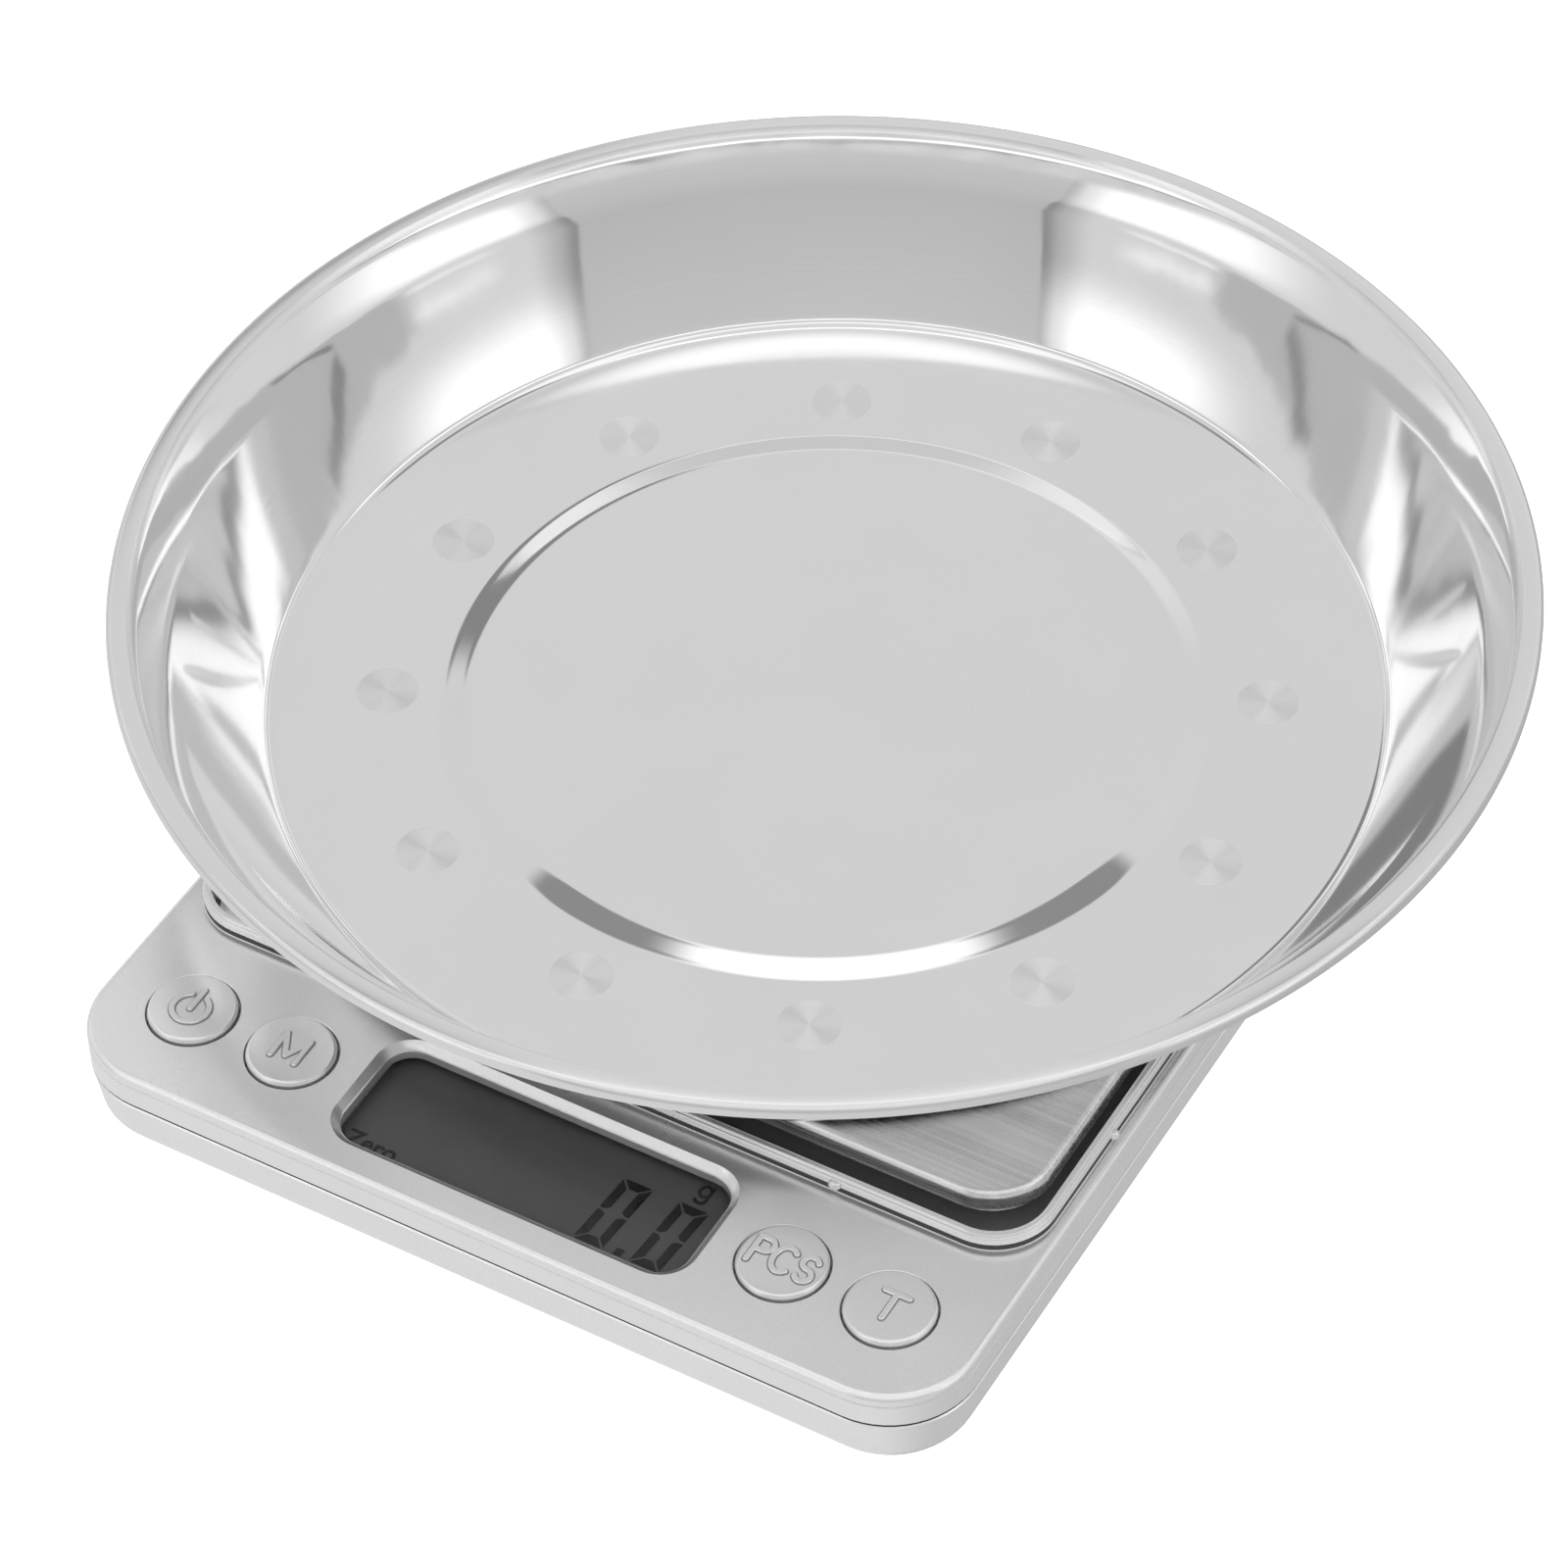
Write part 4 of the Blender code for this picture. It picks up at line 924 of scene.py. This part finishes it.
def unit_sign():
    """The letter g, from a bowl, a stem and a hook."""
    x, y = UNIT_X, UNIT_Y
    bowl = bow(x, y, 0.62, 0.72, 0, 352, 22)
    stem = [(x + 0.62, y + 0.75), (x + 0.62, y - 1.1)]
    hook = bow(x, y - 1.1, 0.62, 0.55, 0, -155, 8)
    bm = bmesh.new()
    for i, points in enumerate((bowl, stem, hook)):
        stroke(bm, points, INK_Z, INK_Z + 0.03 - 0.002 * i, 0.19, 0.01, 4)
    return closed_mesh("lcd_unit_sign", bm)


# ---- platform ----
PLATE_CORNER = 7.0
PLATE_ROUNDING = 0.85
PLATE_SHEET = 0.8


def platform_tray():
    """The square steel cover: flat top, rolled edge, and a short skirt turned in a little at the foot."""
    low = (PLATE_LOW - CASE_ORIGIN) / MM
    high = (PLATE_HIGH - CASE_ORIGIN) / MM
    r, sheet = PLATE_ROUNDING, PLATE_SHEET
    top, bottom = high.z, low.z
    outer = quarter(r, top - r, r, 90, 0, 12)
    outer += [(0.0, top - r - 0.5), (0.03, bottom + 0.6), (0.12, bottom + 0.14), (0.28, bottom)]
    inner = [(0.55, bottom), (0.72, bottom + 0.12), (sheet, bottom + 0.3), (sheet, top - r)]
    inner += quarter(r, top - r, r - sheet, 0, 90, 5)[1:]
    skin = Skin()
    for ring in skin.sweep((low.x, high.x, low.y, high.y, PLATE_CORNER), outer + inner, 14):
        skin.fill(ring)
    tray = skin.done("platform_tray")
    smooth(tray, 30)
    weighted(tray)
    dress(tray, BRUSHED, "brushed_steel", "platform", "platform_plate")


# ---- pan ----
PAN_SHEET = 0.5
PAN_RADIUS = (PAN_HIGH.x - PAN_LOW.x) / 2 / MM
PAN_RIM = PAN_HIGH.z / MM
PAN_UNDER = PAN_LOW.z / MM
PAN_FLOOR = PAN_UNDER + PAN_SHEET
DISC_FLAT = 20.0
DISC_RADIUS = 39.4
STEP_RADIUS = 42.4
STEP_ROUNDING = 0.35
DISC_RISE = 0.7
FLOOR_START = 46.0
FLOOR_DISH = 0.25
PAN_FOOT = 61.3
PAN_FILLET = 2.0
SHOULDER = (70.9, 32.4)
SHOULDER_ROUNDING = 34.0
SHOULDER_TURN = math.radians(9.0)
WALL_BOW = math.radians(4.0)
ROLL_RADIUS = 0.9
PAN_STEPS = 320


def offset_line(points, distance):
    """The line moved sideways to its right by a distance."""
    moved = []
    for i, (x, z) in enumerate(points):
        here = Vector((x, z))
        before = Vector(points[i - 1]) if i else here - (Vector(points[1]) - here)
        after = Vector(points[i + 1]) if i < len(points) - 1 else here + (here - before)
        arriving, leaving = (here - before).normalized(), (after - here).normalized()
        along = (arriving + leaving).normalized()
        reach = distance / max(along.dot(leaving), 0.3)
        moved.append((max(x + along.y * reach, 0.0), z - along.x * reach))
    return moved


def eased(start, end, rounding, count=12):
    """A straight slope between two levels, with its two corners rounded a little."""
    (x0, z0), (x1, z1) = start, end
    half = rounding / 2
    points = []
    for i in range(count + 1):
        t = -half + (1 + rounding) * i / count
        low = max(0.0, t + half) ** 2 / (2 * rounding) if t < half else t
        left = 1 - t
        high = max(0.0, left + half) ** 2 / (2 * rounding) if left < half else left
        level = low if t < 0.5 else 1 - high
        points.append((x0 + (x1 - x0) * t, z0 + (z1 - z0) * level))
    return points


def pan_inside():
    """The pan's inner line from the axis to the rolled rim: the wall is very slightly bowed outwards."""
    disc = PAN_FLOOR + DISC_RISE
    x, z = SHOULDER
    slope = math.atan2(z - PAN_FLOOR, x - PAN_FOOT)
    foot_slope = slope - WALL_BOW
    bend_x = PAN_FOOT - PAN_FILLET * math.tan(foot_slope / 2)
    dish = PAN_FLOOR + FLOOR_DISH
    line = [(0.0, disc), (DISC_FLAT, disc)]
    line += eased((DISC_RADIUS, disc), (STEP_RADIUS, PAN_FLOOR), STEP_ROUNDING)
    for i in range(6):
        t = i / 5
        line.append((FLOOR_START + (bend_x - FLOOR_START) * t, PAN_FLOOR + FLOOR_DISH * t * t))
    for i in range(1, 9):
        a = foot_slope * i / 8
        line.append((bend_x + PAN_FILLET * math.sin(a), dish + PAN_FILLET * (1 - math.cos(a))))
    foot = Vector(line[-1])
    chord = Vector(SHOULDER) - foot
    outward = Vector((chord.y, -chord.x)).normalized()
    sag = chord.length * math.tan(WALL_BOW / 2) / 2
    for i in range(1, 17):
        t = i / 16
        line.append(tuple(foot + chord * t + outward * sag * 4 * t * (1 - t)))
    for i in range(1, 9):
        a = slope - SHOULDER_TURN * i / 8
        out = SHOULDER_ROUNDING * (math.sin(slope) - math.sin(a))
        up = SHOULDER_ROUNDING * (math.cos(a) - math.cos(slope))
        line.append((x + out, z + up))
    end_x, end_z = line[-1]
    line.append((end_x + 0.25, end_z + 0.18))
    line += [(PAN_RADIUS - 2.3, PAN_RIM - 0.06), (PAN_RADIUS - 1.7, PAN_RIM)]
    for i in range(7):
        a = math.radians(90 - 90 * i / 6)
        out = PAN_RADIUS - ROLL_RADIUS * (1 - math.cos(a))
        line.append((out, PAN_RIM - 1.0 + ROLL_RADIUS * math.sin(a)))
    line.append((PAN_RADIUS, PAN_RIM - 1.5))
    return line


def pan():
    inside = pan_inside()
    outside = offset_line(inside, PAN_SHEET)[::-1]
    outside[-1] = (0.0, outside[-1][1])
    profile = [(r, z - PAN_UNDER) for r, z in inside + outside]
    bowl = revolve("steel_pan", profile, PAN_STEPS, PAN_ORIGIN)
    smooth(bowl, 24)
    dress(bowl, POLISHED, "polished_steel", "pan", "weighing_pan")


# ---- pieces kept from the CAD ----
def dress_cad_nodes():
    """Every CAD node that still shows takes its material: the first that fits its name, or else black."""
    looks = [
        (RUBBER, ("foot_", "lcd_connector")),
        (WHITE, ("lcd_backlight", "strain_gauge")),
        (GREEN, ("circuit_board",)),
        (WRAP, ("battery_left", "battery_right")),
        (RED, ("battery_lead_red",)),
        (BLACK_LEAD, ("battery_lead_black",)),
        (WHITE_LEAD, ("load_cell_cable",)),
        (ZINC, ("battery_", "load_cell_", "platform_screw", "case_screw", "board_screw")),
        (ALUMINIUM, ("load_cell",)),
    ]
    for name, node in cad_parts.items():
        if node.hide_render:
            continue
        found = next((material for material, starts in looks if name.startswith(starts)), BLACK)
        node.data.materials.clear()
        node.data.materials.append(found)


# ---- studio ----
CAMERA_PLACE = Vector((0.2337, -0.3925, 0.4733))
CAMERA_YAW = 31.31
CAMERA_DOWN = 45.68
CAMERA_ROLL = 1.957
CAMERA_LENS = 135.0
CAMERA_SENSOR = 36.0
FLOOR_SIZE = 4000.0

# Levels of the sky. The photo's white is 1, and a gain is added to the level under it.
PANEL_LEVEL = 0.45
SIDE_LEVEL = 0.7
LAMP_GAIN = 0.6
LINE_GAIN = 0.3
GREY_LEVEL = 0.52
CREASE_LEVEL = 0.27
HIGH_LEVEL = 0.58
GLOW_GAIN = 0.75
THREAD_GAIN = -0.34
REAR_FOOT = 0.62
REAR_STEPS = [(3.0, 4.0, 0.5), (11.0, 12.5, 1.15), (14.0, 20.0, 0.66), (24.0, 26.0, 0.85)]
REAR_TOP = 0.70
CEILING_FRONT = 1.12
CEILING_BACK = 1.35
ZENITH_LEVEL = 0.78
SLOT_LEVEL = 0.3
CORNER_LEVEL = 0.27
TABLE_LEFT = 0.7
TABLE_RIGHT = 0.46


def camera():
    yaw, down, roll = (math.radians(a) for a in (CAMERA_YAW, CAMERA_DOWN, CAMERA_ROLL))
    turned = Matrix.Rotation(yaw, 4, "Z") @ Matrix.Rotation(math.pi / 2 - down, 4, "X")
    data = bpy.data.cameras.new("camera")
    data.lens = CAMERA_LENS
    data.sensor_width = CAMERA_SENSOR
    data.clip_start = 0.01
    data.clip_end = 20.0
    obj = bpy.data.objects.new("camera", data)
    obj.matrix_world = Matrix.Translation(CAMERA_PLACE) @ turned @ Matrix.Rotation(-roll, 4, "Z")
    bpy.context.scene.collection.objects.link(obj)
    bpy.context.scene.camera = obj


class Sky(Graph):
    """A white light tent as a sky, turned with the camera. Angles in it are degrees.

    Azimuth 0 lies towards the camera, around is the azimuth without its sign, and height is 0 at the
    horizon and 90 overhead. Sway is a slow wander of a few degrees that bends the edges between levels.
    """

    def __init__(self, world):
        super().__init__("light_tent", world)
        inputs = {"Vector": self.coords, "Angle": math.radians(-CAMERA_YAW)}
        turned = self.add("ShaderNodeVectorRotate", inputs, rotation_type="Z_AXIS").outputs["Vector"]
        x, y, z = self.split(turned)
        degrees = 180 / math.pi
        self.drift = self.noise(2.2, 2.0, 0.5, turned)
        self.ripple = self.noise(9.0, 2.0, 0.5, turned)
        slow = self.times(self.minus(self.drift, 0.5), 14.0)
        quick = self.times(self.minus(self.ripple, 0.5), 7.0)
        self.sway = self.total(slow, quick)
        self.azimuth = self.times(self.math("ARCTAN2", x, self.times(y, -1.0)), degrees)
        self.around = self.math("ABSOLUTE", self.azimuth)
        self.height = self.times(self.math("ARCSINE", z), degrees)
        self.swayed = self.total(self.around, self.sway)

    def blend(self, factor, a, b):
        """Level a where the factor is 0, and level b where it is 1."""
        return self.total(self.times(self.minus(1.0, factor), a), self.times(factor, b))

    def ramp(self, value, start, end, low=0.0, high=1.0):
        """A smooth step from low at the start to high at the end. The start may be the larger value."""
        return self.spread(value, start, end, low, high, interpolation_type="SMOOTHSTEP")

    def between(self, value, low_start, low_end, high_start, high_end):
        """1 from low_end to high_start, and 0 outside low_start and high_end."""
        return self.times(self.ramp(value, low_start, low_end), self.ramp(value, high_end, high_start))

    def line(self, height, lean, wander):
        """The height of a line that leans with the azimuth and wanders with the sway."""
        return self.total(self.times(self.around, lean), self.times(self.sway, wander), height)

    def stripe(self, height, lean, wander, outer, inner):
        """1 within the inner distance of such a line, and 0 past the outer one."""
        away = self.math("ABSOLUTE", self.minus(self.height, self.line(height, lean, wander)))
        return self.ramp(away, outer, inner)

    def side_light(self, past_panel):
        """Beside the panel: a dark seam, a lamp with a thin bright line under it, and a low grey zone."""
        above_lamp_edge = self.total(self.height, self.times(self.around, 0.17), -32.2)
        lamp = self.times(self.ramp(above_lamp_edge, -3.5, 3.5), self.ramp(self.around, 91.0, 66.0))
        level = self.total(self.times(lamp, LAMP_GAIN), SIDE_LEVEL, self.times(self.drift, 0.08))
        thin = self.stripe(27.8, -0.2, 0.25, 1.0, 0.2)
        thin = self.times(thin, self.between(self.around, 50.0, 56.0, 68.0, 71.0), LINE_GAIN)
        level = self.total(level, thin)
        seam = self.ramp(past_panel, 0.3, 3.5, 0.5, 0.78)
        seam = self.times(seam, self.ramp(past_panel, 2.0, 10.0, 0.82, 1.28))
        level = self.times(level, self.math("MINIMUM", seam, 1.0))
        under_edge = self.minus(self.line(22.0, -0.1, 0.4), self.height)
        zone = self.ramp(under_edge, -0.5, 0.5)
        zone = self.times(zone, self.between(self.swayed, 66.0, 72.0, 118.0, 128.0))
        crease = self.stripe(-8.8, 0.22, 0.35, 1.2, 0.6)
        crease = self.times(crease, self.between(self.around, 82.0, 84.0, 95.0, 97.0))
        return self.blend(zone, level, self.blend(crease, GREY_LEVEL, CREASE_LEVEL))

    def camera_side(self):
        """A panel ahead that widens upwards, the side lights past it, and a soft band above both."""
        panel_edge = self.total(self.times(self.height, 0.42), 30.4)
        past_panel = self.minus(self.around, panel_edge)
        panel = self.total(self.times(self.height, 0.005), PANEL_LEVEL)
        level = self.blend(self.ramp(past_panel, -0.3, 0.3), panel, self.side_light(past_panel))
        high = self.total(self.times(self.ripple, 0.3), HIGH_LEVEL)
        high = self.total(high, self.times(self.stripe(46.0, 0.0, 0.35, 4.0, 1.2), GLOW_GAIN))
        high = self.total(high, self.times(self.stripe(42.0, 0.0, 0.5, 1.6, 0.6), THREAD_GAIN))
        above_sides = self.total(self.height, self.times(self.around, 0.11))
        return self.blend(self.ramp(above_sides, 38.5, 41.5), level, high)

    def rear(self):
        """The half away from the camera: level stripes near the horizon, and an even grey above them."""
        stripe_height = self.total(self.height, self.times(self.sway, 0.9))
        level = REAR_FOOT
        for start, end, next_level in REAR_STEPS:
            level = self.blend(self.ramp(stripe_height, start, end), level, next_level)
        top = self.total(self.times(self.drift, 0.06), REAR_TOP)
        return self.blend(self.ramp(self.height, 26.0, 36.0), level, top)

    def ceiling(self):
        """Bright overhead, brighter at the back, and less bright straight above."""
        level = self.blend(self.ramp(self.around, 148.0, 156.0), CEILING_FRONT, CEILING_BACK)
        return self.blend(self.ramp(self.height, 73.0, 79.0), level, ZENITH_LEVEL)

    def slot(self):
        """A dark slot at each side high at the back: the front of the pan's raised disc mirrors them."""
        leaning = self.total(self.around, self.times(self.height, 0.45))
        place = self.times(self.ramp(leaning, 159.0, 164.0), self.ramp(self.around, 163.0, 156.0))
        return self.times(place, self.between(self.height, 55.0, 57.0, 66.0, 70.0))

    def corner(self):
        """A dark patch low at the back left, which the back left of the raised disc mirrors."""
        place = self.between(self.azimuth, -178.0, -174.0, -158.0, -155.0)
        return self.times(place, self.between(self.height, 20.0, 23.0, 35.0, 38.0))

    def table(self):
        """Below the horizon: darker towards the right."""
        slope = self.ramp(self.azimuth, -30.0, 80.0, TABLE_LEFT, TABLE_RIGHT)
        return self.total(self.times(self.drift, 0.08), slope)


def studio_world():
    world = bpy.data.worlds.new("light_tent")
    bpy.context.scene.world = world
    sky = Sky(world)
    level = sky.blend(sky.ramp(sky.swayed, 104.0, 124.0), sky.camera_side(), sky.rear())
    level = sky.blend(sky.ramp(sky.height, 60.0, 70.0), level, sky.ceiling())
    level = sky.blend(sky.slot(), level, SLOT_LEVEL)
    level = sky.blend(sky.corner(), level, CORNER_LEVEL)
    level = sky.blend(sky.ramp(sky.height, -1.5, 0.5), sky.table(), level)
    seen = sky.add("ShaderNodeLightPath").outputs["Is Camera Ray"]
    sky.links.new(sky.blend(seen, level, 1.0), sky.shader.inputs["Strength"])
    sky.shader.inputs["Color"].default_value = (1.0, 1.0, 1.0, 1.0)


def floor():
    """A glowing white table that only the camera sees, and only from above. It sheds no light."""
    g = Graph("floor")
    grain = g.noise(30, 3.0, 0.5)
    g.principled(base_color=g.tint((0.6, 0.6, 0.6), 0.99, 1.01, grain), roughness=0.9, specular=0.0)
    g.principled(emission_color=(1.0, 1.0, 1.0), emission_strength=1.0)
    below = g.add("ShaderNodeNewGeometry").outputs["Backfacing"]
    seen = g.add("ShaderNodeLightPath").outputs["Is Camera Ray"]
    hidden = g.math("MAXIMUM", below, g.minus(1.0, seen))
    clear = g.add("ShaderNodeBsdfTransparent").outputs[0]
    bm = bmesh.new()
    bmesh.ops.create_grid(bm, x_segments=1, y_segments=1, size=FLOOR_SIZE)
    plane = mesh_object("floor", bm, Vector((0, 0, 0)))
    plane.data.materials.append(g.surface(hidden, g.shader.outputs[0], clear))


upper_shell()
lower_shell()
door_panel()
button_caps()
display()
platform_tray()
pan()
dress_cad_nodes()
studio_world()
floor()
camera()
scene = bpy.context.scene
scene.view_settings.view_transform = "Standard"
scene.view_settings.look = "None"
scene.cycles.max_bounces = 10
scene.cycles.caustics_reflective = True
